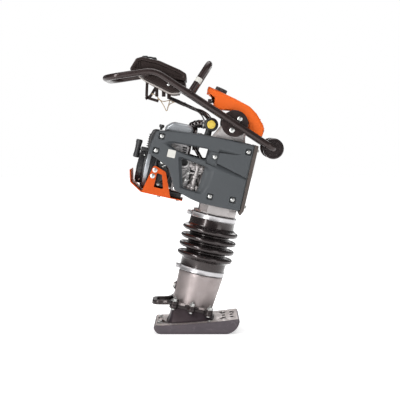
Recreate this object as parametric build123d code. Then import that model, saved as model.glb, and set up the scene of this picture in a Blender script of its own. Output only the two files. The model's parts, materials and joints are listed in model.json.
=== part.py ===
from build123d import *
import os
from math import atan2, cos, pi, radians, sin, sqrt, tan

# Jumping jack rammer, millimetres.
# Row frame: origin at the centre of the shoe's sole, +X forward, +Y left, +Z up.
# Leg frame: origin where the leg's axis meets the foot flange. Its third axis, the height h, runs up
# the leg, which leans forward; its first axis points forward across the leg.

# Driving dimensions
LEG_TILT = 12.5
LEG_X = -11
LEG_Z = 90
RUNNING = 0.05

SHOE_WIDTH = 280
SHOE_PLATE = 5
SHOE_PLATE_MARGIN = 5

LEG_RADIUS = 85.5
SIGHT_GLASS_HEIGHT = 62
SPIGOT_RADIUS = 80.9
BELLOWS_LOW = 128
BELLOWS_HIGH = 366
CUFF_RADIUS = 86
CUFF_HEIGHT = 54
RING_RADIUS = 108
VALLEY_RADIUS = 75
RING_HEIGHTS = [195.6, 229.1, 262.6, 296.1]
CLAMP_HEIGHTS = [140, 350.6]
CLAMP_WIDTH = 18

SPRING_TUBE_RADIUS = 56
SPRING_TUBE_WALL = 5
SPRING_TUBE_TOP = 270
GUIDE_RADIUS = 65
GUIDE_BORE = 59
GUIDE_LOW = 212
GUIDE_HIGH = 404

CRANK_HEIGHT = 576
CRANK_THROW = 28
CRANK_PIN_RADIUS = 12
CONROD_LENGTH = 130
WRIST_PIN_RADIUS = 8
FORK_GAP = 18
GEAR_MODULE = 2
GEAR_TEETH = 80
PINION_TEETH = 16
PRESSURE_ANGLE = 25
GEAR_BACK = -34
GEAR_FACE = 16
ENGINE_HEIGHT = CRANK_HEIGHT - GEAR_MODULE * (GEAR_TEETH + PINION_TEETH) / 2

GUARD_OUTER_Y = 130
GUARD_THICKNESS = 6
GUARD_BOLTS = [(-257, 613), (-267, 556), (72.5, 625), (-46.5, 579.5), (-33, 431), (53, 437)]

TUBE_RADIUS = 12
TUBE_Y = 160
BAIL_RADIUS = 13.5
PIVOT_X = 146.5
PIVOT_Z = 788
HANDLE_REAR = (-339, 960)
HANDLE_BEND = (-156.6, 988.3)
HANDLE_FRONT = (288, 697)
ROLLER_RADIUS = 39
ROLLER_Y = 112
ROLLER_WIDTH = 26

TANK_HALF_WIDTH = 118
CONSOLE_HALF_WIDTH = 136

HOSE_Y = -45
THROAT_P = -128
THROAT_HEIGHT = 655

LEG_FRAME = Pos(LEG_X, 0, LEG_Z) * Rot(0, LEG_TILT, 0)


# Helpers

def plate_y(points, y_low, y_high, corner=0):
    """A flat outline of (across, up) points, from y_low to y_high, with rounded corners."""
    face = make_face(Polyline(*points, close=True))
    if corner:
        face = fillet(face.vertices(), corner)
    return Pos(0, y_high, 0) * Rot(90, 0, 0) * extrude(face, y_high - y_low)


def rod_y(across, up, y_low, y_high, radius):
    """A round bar across the machine."""
    return Pos(across, (y_low + y_high) / 2, up) * Rot(90, 0, 0) * Cylinder(radius, y_high - y_low)


def disc_p(p_low, p_high, h, radius, y=0):
    """A round bar along the leg frame's first axis."""
    return Pos((p_low + p_high) / 2, y, h) * Rot(0, 90, 0) * Cylinder(radius, p_high - p_low)


def post(low, high, radius, p=0, y=0):
    """A round bar along the leg."""
    return Pos(p, y, (low + high) / 2) * Cylinder(radius, high - low)


def block(x_low, x_high, y_low, y_high, z_low, z_high):
    """A box between two corners."""
    centre = Pos((x_low + x_high) / 2, (y_low + y_high) / 2, (z_low + z_high) / 2)
    return centre * Box(x_high - x_low, y_high - y_low, z_high - z_low)


def mirrored(shape):
    """The shape and its mirror image on the machine's other side."""
    return shape + mirror(shape, Plane.XZ)


def swept_tube(path, radius, bore=0):
    """A tube along a path."""
    start = Plane(origin=path @ 0, z_dir=path % 0)
    tube = sweep(start * Circle(radius), path=path)
    if bore:
        tube = tube - sweep(start * Circle(bore), path=path)
    return tube


def row_point(p, h):
    """A leg-frame place as (x, z) in the row frame."""
    tilt = radians(LEG_TILT)
    return LEG_X + p * cos(tilt) + h * sin(tilt), LEG_Z - p * sin(tilt) + h * cos(tilt)


def spun(points):
    """A solid of revolution about the leg's axis, from (radius, height) points."""
    return revolve(make_face(Plane.XZ * Polyline(*points, close=True)), Axis.Z)


def hex_bolt(length, radius=4):
    """A flange bolt whose head's underside is at 0, with its head up and its shank down."""
    flange = Pos(0, 0, 1) * Cylinder(radius * 2.2, 2)
    head = Pos(0, 0, 2 + radius * 0.7) * extrude(RegularPolygon(radius * 1.7, 6), radius * 0.7, both=True)
    shank = Pos(0, 0, -length / 2) * Cylinder(radius, length)
    return flange + head + shank


# Shoe and foot

def shoe_outline():
    sole = Line((-132, 0), (110, 0))
    toe = ThreePointArc((110, 0), (147, 17), (163, 46))
    toe_lip = Line((163, 46), (158.5, 57))
    top = ThreePointArc((158.5, 57), (13, 41), (-158.5, 32))
    heel_lip = Line((-158.5, 32), (-162, 23))
    heel = ThreePointArc((-162, 23), (-152, 7), (-132, 0))
    return make_face([sole, toe, toe_lip, top, heel_lip, heel])


def whole_shoe():
    half = SHOE_WIDTH / 2
    solid = Pos(0, half, 0) * Rot(90, 0, 0) * extrude(shoe_outline(), SHOE_WIDTH)
    corners = [(-170, -half), (170, -half), (170, half), (-170, half)]
    blank = extrude(chamfer(make_face(Polyline(*corners, close=True)).vertices(), 18), 80)
    return solid & (Pos(0, 0, -5) * blank)


def plate_space():
    """The band under the shoe's top face, where the steel plate lies."""
    top = ThreePointArc((157, 70), (13, 54), (-157, 45))
    front = Line((157, 70), (157, 57 - SHOE_PLATE))
    under = ThreePointArc((157, 57 - SHOE_PLATE), (13, 41 - SHOE_PLATE), (-157, 32 - SHOE_PLATE))
    rear = Line((-157, 45), (-157, 32 - SHOE_PLATE))
    half = SHOE_WIDTH / 2 - SHOE_PLATE_MARGIN
    return Pos(0, half, 0) * Rot(90, 0, 0) * extrude(make_face([top, front, under, rear]), 2 * half)


SHOE_BOLT_PLACES = [(x, y) for x in (104, 134) for y in (-60, 0, 60)]
SHOE_BOLT_PLACES += [(-140, y) for y in (-70, 70)]


def shoe_top(x):
    """Height of the shoe's top face, close to its arc."""
    return 41 + 0.0836 * (x - 13) + 0.000181 * (x - 13) ** 2


def shoe_bolt_solids():
    bolts = []
    for x, y in SHOE_BOLT_PLACES:
        head = Cylinder(9, 5, align=(Align.CENTER, Align.CENTER, Align.MIN))
        shank = Cylinder(5, 22, align=(Align.CENTER, Align.CENTER, Align.MAX))
        bolts.append(Pos(x, y, shoe_top(x) + 1.4) * (head + shank))
    return bolts


def shoe_bolt_holes():
    holes = [Pos(x, y, shoe_top(x) - 8) * Cylinder(5.2, 30) for x, y in SHOE_BOLT_PLACES]
    return Compound(holes)


FLANGE_THICKNESS = 14
PEDESTAL_FOOT = 28
STUD_PLACES = [(p, y) for p in (-77, -8, 60) for y in (-95, 95)]
LOOP_LIFT = 12


def foot_casting():
    """The tilted flange on a pedestal that spreads onto the shoe."""
    plate = extrude(fillet(Rectangle(172, 196).vertices(), 30), -FLANGE_THICKNESS)
    flange = Pos(-8, 0, 0) * plate
    for p, y in STUD_PLACES:
        flange = flange + post(-FLANGE_THICKNESS, 0, 15, p, y)
    top_outline = fillet(Rectangle(160, 168).vertices(), 30)
    under_flange = LEG_FRAME * (Pos(-8, 0, -FLANGE_THICKNESS / 2) * top_outline)
    on_shoe = Pos(-24, 0, PEDESTAL_FOOT) * fillet(Rectangle(180, 196).vertices(), 40)
    pedestal = loft([on_shoe, under_flange])
    casting = LEG_FRAME * flange + pedestal - whole_shoe()
    sump = LEG_FRAME * (Pos(-8, 0, -FLANGE_THICKNESS) * Cylinder(50, 2 * FLANGE_THICKNESS + 20))
    holes = [LEG_FRAME * post(-FLANGE_THICKNESS - 8, 2, 5.2, p, y) for p, y in STUD_PLACES]
    return casting - sump - Compound(holes)


def flange_nuts():
    nuts = []
    for p, y in STUD_PLACES:
        lift = LOOP_LIFT + 0.2 if p < -70 else 8.2
        stud = post(-FLANGE_THICKNESS, lift + 16, 5, p, y)
        washer = post(lift, lift + 2, 11, p, y)
        nut = Pos(p, y, lift + 2) * extrude(RegularPolygon(9.5, 6), 9)
        nuts.append(LEG_FRAME * (stud + washer + nut))
    return nuts


def leg_flange_hole_set(low, high):
    return Compound([post(low, high, 5.2, p, y) for p, y in STUD_PLACES])


def toe_loop():
    """A flat forged loop behind the foot, on two lugs that the rear studs clamp."""
    outline = make_face(
        [
            Line((-96, -60), (-130, -60)),
            ThreePointArc((-130, -60), (-172, 0), (-130, 60)),
            Line((-130, 60), (-96, 60)),
            Line((-96, 60), (-96, -60)),
        ]
    )
    inner = make_face(
        [
            Line((-90, -40), (-128, -40)),
            ThreePointArc((-128, -40), (-152, 0), (-128, 40)),
            Line((-128, 40), (-90, 40)),
            Line((-90, 40), (-90, -40)),
        ]
    )
    bar = extrude(outline - inner, 17)
    arm = Pos(-93, 78, 0) * extrude(fillet(Rectangle(30, 48).vertices(), 8), 17)
    lug = block(-92, -64, 82, 110, 0, LOOP_LIFT)
    hole = post(-2, 30, 5.2, -77, 95)
    lugs = LEG_FRAME * (Pos(0, 0, 0.1) * (lug - hole))
    shape = Pos(0, 0, 107) * bar + mirrored(Pos(0, 0, 107) * arm) + mirrored(lugs)
    leg_clearance = LEG_FRAME * (post(0, 60, 80, -7, 0) + block(-95, 90, -115, 115, -20, 0.1))
    stud_space = LEG_FRAME * mirrored(post(-2, 60, 5.3, -77, 95) + post(LOOP_LIFT + 0.1, 60, 13, -77, 95))
    return shape - leg_clearance - stud_space


# Leg, springs and bellows

def leg_tube():
    """The cast leg: round under the bellows, narrowing at the front towards the foot."""
    flange = Pos(-8, 0, 0.1) * extrude(fillet(Rectangle(150, 170).vertices(), 30), 8)
    for p, y in STUD_PLACES[2:]:
        flange = flange + post(0.1, 8.1, 13, p, y)
    bottom = Pos(-7, 0, 0.1) * Circle(78)
    top = Pos(0, 0, 118) * Circle(LEG_RADIUS)
    cone = loft([bottom, top])
    inner_cone = loft([Pos(-7, 0, -1) * Circle(66), Pos(0, 0, 119) * Circle(74)])
    collar = post(118, BELLOWS_LOW, LEG_RADIUS)
    spigot = post(BELLOWS_LOW, 183, SPIGOT_RADIUS)
    shell = cone + collar + spigot + flange - inner_cone - post(118, 190, 74)
    shell = shell - leg_flange_hole_set(-1, 20)
    sight_hole = disc_p(-110, -60, SIGHT_GLASS_HEIGHT, 9)
    lug_space = block(-93, -61, -120, 120, -1, LOOP_LIFT + 4) - post(-2, 30, 70)
    return shell - sight_hole - lug_space


def oil_sight_glass():
    """A sight glass screwed into the back of the leg."""
    thread = disc_p(-84, -70, SIGHT_GLASS_HEIGHT, 8.9)
    rim = disc_p(-93, -86.5, SIGHT_GLASS_HEIGHT, 13)
    neck = disc_p(-88, -80, SIGHT_GLASS_HEIGHT, 8.9)
    return thread + rim + neck


def spring_cylinder():
    """The inner tube that holds the springs, standing on a foot flange inside the leg."""
    tube = post(4, SPRING_TUBE_TOP, SPRING_TUBE_RADIUS)
    bore = post(12, SPRING_TUBE_TOP + 1, SPRING_TUBE_RADIUS - SPRING_TUBE_WALL)
    foot = post(4, 12, SPRING_TUBE_RADIUS + 2)
    return tube + foot - bore


def spring_cylinder_cap():
    """The plug in the top of the spring cylinder, bored for the plunger."""
    plug = post(SPRING_TUBE_TOP - 18, SPRING_TUBE_TOP, SPRING_TUBE_RADIUS - SPRING_TUBE_WALL)
    rim = post(SPRING_TUBE_TOP, SPRING_TUBE_TOP + 6, SPRING_TUBE_RADIUS - 1)
    return plug + rim - post(SPRING_TUBE_TOP - 30, SPRING_TUBE_TOP + 10, PLUNGER_RADIUS + RUNNING)


PLUNGER_RADIUS = 15
PISTON_LOW = 112
PISTON_HIGH = 126
WRIST_HEIGHT = CRANK_HEIGHT - CRANK_THROW - CONROD_LENGTH


def plunger():
    """Fork, rod and spring piston: the crank's slider, shut in between the springs."""
    fork_low = WRIST_HEIGHT - 90
    rod = post(PISTON_LOW, fork_low + 2, PLUNGER_RADIUS)
    piston = post(PISTON_LOW, PISTON_HIGH, SPRING_TUBE_RADIUS - SPRING_TUBE_WALL - 1)
    head = block(-17, 17, -15, 15, fork_low, WRIST_HEIGHT + 2)
    crown = Pos(0, 0, WRIST_HEIGHT) * Rot(0, 90, 0) * Cylinder(15, 34)
    gap = FORK_GAP / 2 + RUNNING
    slot = block(-gap, gap, -20, 20, WRIST_HEIGHT - 76, WRIST_HEIGHT + 20)
    pin_holes = disc_p(-20, 20, WRIST_HEIGHT, WRIST_PIN_RADIUS + RUNNING)
    return rod + piston + head + crown - slot - pin_holes


def coil(low, high, mean_radius, wire, turns):
    """A round-wire coil spring between two heights."""
    pitch = (high - low - 2 * wire) / turns
    path = Pos(0, 0, low + wire) * Helix(pitch, high - low - 2 * wire, mean_radius)
    start = Plane(origin=path @ 0, z_dir=path % 0)
    return sweep(start * Circle(wire), path=path)


def springs_upper():
    top = SPRING_TUBE_TOP - 19
    return [coil(PISTON_HIGH + 1, top, 42, 5, 5), coil(PISTON_HIGH + 1, top, 26, 3.5, 7)]


def springs_lower():
    return [coil(13, PISTON_LOW - 1, 42, 5, 4), coil(13, PISTON_LOW - 1, 26, 3.5, 6)]


def bellows():
    """The rubber bellows, with a cuff at each end and four rounded rings."""
    outer = [(CUFF_RADIUS, BELLOWS_LOW), (CUFF_RADIUS, BELLOWS_LOW + CUFF_HEIGHT)]
    for height in RING_HEIGHTS:
        outer += [(VALLEY_RADIUS, height - 13), (RING_RADIUS - 4, height - 8)]
        outer += [(RING_RADIUS, height), (RING_RADIUS - 4, height + 8)]
    outer += [(VALLEY_RADIUS, RING_HEIGHTS[-1] + 10), (CUFF_RADIUS, RING_HEIGHTS[-1] + 16)]
    outer += [(CUFF_RADIUS, BELLOWS_HIGH)]
    cuff_bore = SPIGOT_RADIUS + RUNNING
    inner = [(cuff_bore, BELLOWS_HIGH), (cuff_bore, RING_HEIGHTS[-1] + 12)]
    for height in reversed(RING_HEIGHTS):
        inner += [(VALLEY_RADIUS - 5, height + 8), (RING_RADIUS - 6, height + 4)]
        inner += [(RING_RADIUS - 6, height - 4), (VALLEY_RADIUS - 5, height - 8)]
    inner += [(cuff_bore, BELLOWS_LOW + CUFF_HEIGHT + 2), (cuff_bore, BELLOWS_LOW)]
    return spun(outer + inner)


def clamp(height):
    """A steel band around a cuff, with its screw at the back."""
    low = height - CLAMP_WIDTH / 2
    high = height + CLAMP_WIDTH / 2
    band = post(low, high, CUFF_RADIUS + 2.2)
    lug = block(-CUFF_RADIUS - 12, -CUFF_RADIUS, -12, 12, low + 2, high - 2)
    screw = rod_y(-CUFF_RADIUS - 7, height, -26, 26, 4)
    head = rod_y(-CUFF_RADIUS - 7, height, -30, -24, 7)
    return band + lug + screw + head - post(low - 1, high + 1, CUFF_RADIUS + RUNNING)


# Crankcase and crank drive

CASE_HALF_WIDTH = 98
CASE_REAR = -74
CASE_FRONT = 62
CASE_LOW = 396
CASE_TOP = 700


def guide_cylinder():
    """The steel sleeve under the crankcase that slides over the spring cylinder."""
    sleeve = post(GUIDE_LOW, GUIDE_HIGH, GUIDE_RADIUS)
    bore = post(GUIDE_LOW - 1, GUIDE_HIGH + 1, GUIDE_BORE)
    bush = post(GUIDE_LOW, GUIDE_LOW + 30, GUIDE_RADIUS)
    bush_bore = post(GUIDE_LOW - 1, GUIDE_LOW + 31, SPRING_TUBE_RADIUS + RUNNING)
    return (sleeve - bore) + (bush - bush_bore)


def crankcase():
    """The main casting: gear chamber, round neck below and the handle's cross boss on top."""
    outline = [(CASE_REAR, CASE_LOW + 50), (-60, CASE_LOW), (80, CASE_LOW), (CASE_FRONT + 18, 560)]
    outline += [(50, CASE_TOP - 30), (48, CASE_TOP), (-48, CASE_TOP), (CASE_REAR, CASE_TOP - 50)]
    body = plate_y(outline, -CASE_HALF_WIDTH, CASE_HALF_WIDTH, 9)
    body = chamfer(body.faces().filter_by(Axis.Y).edges(), 8)
    neck = Pos(10, 0, BELLOWS_HIGH + 2) * extrude(chamfer(Rectangle(140, 168).vertices(), 30), 40)
    spigot = post(BELLOWS_HIGH - 57, BELLOWS_HIGH + 4, SPIGOT_RADIUS)
    boss = rod_y(3, 715, -CASE_HALF_WIDTH, CASE_HALF_WIDTH, 36)
    body = body + neck + spigot + boss
    for p, h in GUARD_BOLTS[2:]:
        reach = GUARD_OUTER_Y - GUARD_THICKNESS
        body = body + mirrored(rod_y(p, h, 80, reach, 11))
    chamber = block(-48, 50, -88, 88, GUIDE_HIGH + 4, 668)
    chamber = fillet(chamber.edges().filter_by(Axis.X), 40)
    body = body - chamber - post(BELLOWS_HIGH - 60, GUIDE_HIGH + 6, GUIDE_RADIUS + 0.02)
    body = body - disc_p(-90, -40, CRANK_HEIGHT, 20 + RUNNING)
    body = body - disc_p(-90, -40, ENGINE_HEIGHT, 16 + RUNNING)
    body = body - disc_p(45, 100, CRANK_HEIGHT, 70)
    for p, h in GUARD_BOLTS[2:]:
        body = body - mirrored(rod_y(p, h, 95, 130, 4.1))
    return body


def crankcase_cover():
    """The round plate that shuts the front of the gear chamber."""
    lid = disc_p(52, 76, CRANK_HEIGHT, 69.8)
    return lid - disc_p(48, 68, CRANK_HEIGHT, 60)


def involute_gear(teeth, width, first_tooth_angle):
    """A spur gear along +X from 0, with straight-sided steps along true involute flanks."""
    pitch = GEAR_MODULE * teeth / 2
    base = pitch * cos(radians(PRESSURE_ANGLE))
    tip = pitch + GEAR_MODULE * 0.92
    root = pitch - GEAR_MODULE * 1.25
    backlash = 0.12
    inv_pitch = tan(radians(PRESSURE_ANGLE)) - radians(PRESSURE_ANGLE)
    half_at_pitch = pi / (2 * teeth) - backlash / pitch
    steps = 5
    flank = []
    for i in range(steps + 1):
        radius = max(base, root) + (tip - max(base, root)) * i / steps
        angle = sqrt(max((radius / base) ** 2 - 1, 0))
        flank.append((radius, half_at_pitch + inv_pitch - (angle - atan2(angle, 1))))
    points = []
    for k in range(teeth):
        centre = 2 * pi * k / teeth + radians(first_tooth_angle)
        low_side = [(root, centre - flank[0][1])] if root < base else []
        low_side += [(radius, centre - angle) for radius, angle in flank]
        high_side = [(radius, centre + angle) for radius, angle in reversed(flank)]
        high_side += [(root, centre + flank[0][1])] if root < base else []
        points += [(r * cos(a), r * sin(a)) for r, a in low_side + high_side]
    return extrude(Plane.YZ * make_face(Polyline(*points, close=True)), width)


def crank_gear():
    """The big gear with its crank pin in front and its shaft behind."""
    gear = Pos(GEAR_BACK, 0, CRANK_HEIGHT) * involute_gear(GEAR_TEETH, GEAR_FACE, 0)
    shaft = disc_p(-72, GEAR_BACK + 1, CRANK_HEIGHT, 20)
    pin = disc_p(GEAR_BACK + GEAR_FACE - 1, 12, CRANK_HEIGHT - CRANK_THROW, CRANK_PIN_RADIUS)
    web = disc_p(GEAR_BACK + GEAR_FACE - 1, -11, CRANK_HEIGHT - CRANK_THROW, 20)
    rim_space = disc_p(GEAR_BACK + 9, 0, CRANK_HEIGHT, 68) - disc_p(GEAR_BACK, 0, CRANK_HEIGHT, 52)
    return gear - rim_space + shaft + web + pin


def conrod():
    """The rod from the crank pin to the plunger's fork, with its wrist pin cut flush."""
    top = CRANK_HEIGHT - CRANK_THROW
    big_end = disc_p(-10, 10, top, 22)
    small_end = disc_p(-FORK_GAP / 2, FORK_GAP / 2, WRIST_HEIGHT, 14)
    shank = block(-5, 5, -9, 9, WRIST_HEIGHT + 5, top - 10)
    return big_end + small_end + shank - disc_p(-20, 20, top, CRANK_PIN_RADIUS + RUNNING)


def clutch_drum():
    """The clutch drum with the pinion on its shaft."""
    rim = disc_p(-118, -84, ENGINE_HEIGHT, 45) - disc_p(-119, -88, ENGINE_HEIGHT, 40)
    shaft = disc_p(-85, GEAR_BACK + 1, ENGINE_HEIGHT, 10)
    journal = disc_p(-72, -50, ENGINE_HEIGHT, 16)
    half_tooth = 180 / PINION_TEETH
    pinion = Pos(GEAR_BACK, 0, ENGINE_HEIGHT) * involute_gear(PINION_TEETH, GEAR_FACE, half_tooth)
    return rim + shaft + journal + pinion


def crankshaft():
    """The engine's shaft, from the starter hub behind to the clutch hub in front."""
    shaft = disc_p(-300, -92, ENGINE_HEIGHT, 10)
    webs = disc_p(-208, -196, ENGINE_HEIGHT - 5, 28) + disc_p(-176, -164, ENGINE_HEIGHT - 5, 28)
    hub = block(-112, -94, -20, 20, ENGINE_HEIGHT - 11, ENGINE_HEIGHT + 11)
    return shaft + webs + hub


def clutch_shoe(side):
    """One half-ring clutch weight, above the hub for side 1 and below it for side -1."""
    ring = disc_p(-112, -94, ENGINE_HEIGHT, 38) - disc_p(-113, -93, ENGINE_HEIGHT, 24)
    keep_low = 11.5 if side > 0 else -60
    keep_high = 60 if side > 0 else -11.5
    return ring & block(-114, -90, -60, 60, ENGINE_HEIGHT + keep_low, ENGINE_HEIGHT + keep_high)


def flywheel():
    """The flywheel with its fan blades."""
    disc = disc_p(-286, -272, ENGINE_HEIGHT, 62)
    rim = disc_p(-292, -270, ENGINE_HEIGHT, 66) - disc_p(-293, -269, ENGINE_HEIGHT, 58)
    wheel = disc + rim
    for k in range(12):
        blade = block(-298, -286, -1.5, 1.5, 34, 64)
        wheel = wheel + Pos(0, 0, ENGINE_HEIGHT) * Rot(30 * k, 0, 0) * blade
    return wheel - disc_p(-300, -268, ENGINE_HEIGHT, 10)


# Engine

def engine_block():
    """The engine's crankcase, bolted to the back of the clutch housing."""
    body = block(-250, -122, -72, 72, 412, 532)
    body = chamfer(body.edges().filter_by(Axis.X), 16)
    housing = disc_p(-124, CASE_REAR - 0.1, ENGINE_HEIGHT, 56)
    feet = block(-240, -140, -60, 60, 397, 414)
    lugs = mirrored(block(-112, -92, 38, 60, ENGINE_HEIGHT - 45, ENGINE_HEIGHT + 20))
    cavity = block(-240, -132, -62, 62, 424, 522)
    clutch_space = disc_p(-122, -70, ENGINE_HEIGHT, 46.5)
    shaft_hole = disc_p(-260, -100, ENGINE_HEIGHT, 10 + RUNNING)
    bore = post(515, 560, 26, -186, 0)
    return body + housing + feet + lugs - cavity - clutch_space - shaft_hole - bore


def engine_cylinder():
    """The finned cylinder on the block."""
    core = post(532.1, 598, 34, -186, 0)
    for k in range(7):
        fin = Pos(-186, 0, 540 + 8 * k) * Box(84, 108, 3)
        core = core + fin
    return core - post(531, 590, 26, -186, 0)


def valve_cover():
    """The rocker cover on the cylinder head."""
    cover = Pos(-186, 0, 598.1) * extrude(fillet(Rectangle(80, 104).vertices(), 14), 24)
    cover = fillet(cover.faces().sort_by(Axis.Z)[-1].edges(), 7)
    return cover - Pos(-186, 0, 598) * Box(66, 88, 36)


def muffler():
    """The exhaust box under its shield."""
    box = block(-240, -160, -62, 62, 636, 664)
    return fillet(box.edges().filter_by(Axis.Y), 10)


def muffler_shield():
    """The rounded sheet-metal shield over the muffler."""
    outline = [(-254, 632), (-254, 660), (-232, 676), (-168, 676), (-152, 664), (-152, 632)]
    shell = plate_y(outline, -78, 78)
    shell = fillet(shell.edges().filter_by(Axis.Y).sort_by(Axis.Z)[2:], 6)
    hollow = [(-248, 620), (-248, 658), (-231, 671), (-169, 671), (-157, 661), (-157, 620)]
    return shell - plate_y(hollow, -73, 73)


def carburettor():
    """The carburettor beside the head, with its flange."""
    body = block(-138, -110, -66, -24, 604, 640)
    flange = block(-143, -137, -70, -20, 600, 644)
    bowl = post(586, 606, 13, -124, HOSE_Y)
    throat = post(638, THROAT_HEIGHT, 16, THROAT_P, HOSE_Y)
    return body + flange + bowl + throat


def choke_lever():
    """The choke's lever on the carburettor's near side."""
    hub = rod_y(-118, 628, -76, -66.1, 6)
    arm = plate_y([(-121, 628), (-115, 628), (-110, 606), (-116, 604)], -76, -72)
    knob = rod_y(-113, 606, -84, -72, 6)
    return hub + arm + knob


CAN_X = 55.6
CAN_Z = 787
CAN_RADIUS = 25


def air_filter_can():
    """The round air filter across the machine, on a bracket from the crankcase."""
    can = rod_y(CAN_X, CAN_Z, -84, 60, CAN_RADIUS)
    stalk = LEG_FRAME * block(-92, CASE_REAR - 2.1, -20, 20, 640, 680)
    foot = LEG_FRAME * block(-92, CASE_REAR - 0.1, -20, 20, 620, 642)
    return can + stalk + foot


def air_filter_cap():
    """The yellow cap on the filter's near end."""
    cap = rod_y(CAN_X, CAN_Z, -92, -84.1, 17)
    return fillet(cap.faces().sort_by(Axis.Y)[0].edges(), 3)


def intake_hose():
    """The rubber elbow between the filter and the carburettor."""
    throat_x, throat_z = row_point(THROAT_P, THROAT_HEIGHT + 0.1)
    bend_x = throat_x + (CAN_Z - throat_z) * tan(radians(LEG_TILT))
    mouth_x = CAN_X - CAN_RADIUS - 0.1
    points = [(mouth_x, HOSE_Y, CAN_Z), (bend_x, HOSE_Y, CAN_Z), (throat_x, HOSE_Y, throat_z)]
    path = FilletPolyline(*points, radius=20)
    return swept_tube(path, 14, 10)


def fan_shroud():
    """The sheet-metal plate between the engine and the fan."""
    disc = disc_p(-262, -252, ENGINE_HEIGHT, 84)
    tower = block(-262, -252, -50, 50, 540, 600)
    return disc + tower - disc_p(-270, -250, ENGINE_HEIGHT, 14)


def recoil_housing():
    """The cover over the fan, with cooling slots and the rope's guide."""
    outer = disc_p(-306, -262.1, ENGINE_HEIGHT, 75) + disc_p(-326, -305, ENGINE_HEIGHT, 60)
    inner = disc_p(-302, -262, ENGINE_HEIGHT, 71) + disc_p(-322, -301, ENGINE_HEIGHT, 50)
    guide = block(-328, -300, -13, 13, 532, 556)
    shell = outer + guide - inner
    for k in range(10):
        slot = block(-330, -305, -3.5, 3.5, 28, 46)
        shell = shell - Pos(0, 0, ENGINE_HEIGHT) * Rot(36 * k + 18, 0, 0) * slot
    rope_hole = disc_p(-340, -290, ROPE_HEIGHT, 4)
    return shell - rope_hole


ROPE_HEIGHT = 545
PULLEY_RADIUS = 35


def recoil_pulley():
    """The starter pulley with its rope groove."""
    wheel = disc_p(-320, -304, ENGINE_HEIGHT, PULLEY_RADIUS + 4)
    groove = disc_p(-315, -309, ENGINE_HEIGHT, 60) - disc_p(-316, -308, ENGINE_HEIGHT, PULLEY_RADIUS)
    return wheel - groove


def recoil_grip():
    """The T-shaped pull grip."""
    bar = post(512, 580, 11, -341, 0)
    bar = fillet(bar.edges(), 5)
    stem = disc_p(-334, -329, ROPE_HEIGHT, 6)
    return bar + stem


def starter_rope():
    """The short run of rope between the pulley and the grip."""
    return disc_p(-328.9, -300, ROPE_HEIGHT, 2.2)


# Guards and front plate

GUARD_OUTLINE = [(-283, 628), (-250, 637), (-195, 644), (-120, 651), (-20, 655), (89, 654)]
GUARD_OUTLINE += [(88, 401), (1, 399), (-64, 400), (-104, 407), (-145, 420), (-168, 427), (-190, 464)]
GUARD_OUTLINE += [(-209, 501), (-226, 513), (-297, 542)]
UPPER_WINDOW = [(-238, 590), (-215, 602), (-75, 603), (-79, 561), (-119, 563), (-159, 568), (-199, 575)]
LOWER_WINDOW = [(-169, 552), (-73.5, 537), (-82, 436), (-140, 440)]


def guard_right():
    """The near side guard, with two windows, turned-in edges and pockets for its bolts."""
    inner_y = -GUARD_OUTER_Y + GUARD_THICKNESS
    panel = plate_y(GUARD_OUTLINE, -GUARD_OUTER_Y, inner_y, 3)
    panel = panel - plate_y(UPPER_WINDOW, -150, -100, 5) - plate_y(LOWER_WINDOW, -150, -100, 5)
    rear_posts = [rod_y(p, h, inner_y, -100, 9) for p, h in GUARD_BOLTS[:2]]
    for support in rear_posts:
        panel = panel + support
    for p, h in GUARD_BOLTS:
        panel = panel - rod_y(p, h, -150, -95, 4.6)
        panel = panel - rod_y(p, h, -150, -GUARD_OUTER_Y + 2, 13)
    return panel


def guard_bolts():
    bolts = []
    for p, h in GUARD_BOLTS:
        bolt = Pos(p, -GUARD_OUTER_Y + 1.9, h) * Rot(90, 0, 0) * hex_bolt(24)
        bolts += [bolt, mirror(bolt, Plane.XZ)]
    return [LEG_FRAME * bolt for bolt in bolts]


def front_plate():
    """The dark strip between the guards, running down the front of the crankcase."""
    outline = [(90, 655), (104, 655), (101, 402), (92, 384), (84, 392), (90, 402)]
    return plate_y(outline, -128, 128, 2)


def engine_guard():
    """The bent and welded guard around the lower back of the engine."""
    skin = [(-131, 393), (-131, 390), (-291, 390), (-338, 418), (-350, 464), (-347, 465)]
    skin += [(-335.5, 420.5), (-290, 393)]
    floor = plate_y(skin, -100, 100)
    side = plate_y([(-287, 393), (-262, 500), (-216, 484), (-178, 393)], 97, 100)
    window = plate_y([(-246, 473), (-226, 470), (-211, 419), (-247, 419)], 90, 110)
    bolts = rod_y(-256, 482, 90, 110, 4.2) + rod_y(-260, 458, 90, 110, 4.2)
    return floor + mirrored(side - window - bolts)


# Fuel tank

TANK_TOP = [(45, 930), (144, 884), (200, 854), (225, 827), (250, 784)]
TANK_UNDER = [(254, 765), (244, 736), (197, 767), (195, 792), (183, 817), (160, 834), (133, 841), (82, 844)]
TANK_UNDER += [(64, 862), (67, 890), (47, 900), (40, 917)]
TANK_BEVEL = 14
TANK_HOLLOW = [(84, 900), (144, 873), (192, 847), (216, 820), (240, 778), (238, 752), (205, 775)]
TANK_HOLLOW += [(203, 800), (190, 823), (164, 842), (84, 854)]
CAP_X = 90
CAP_Z = 909
CAP_TILT = 25


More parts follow.
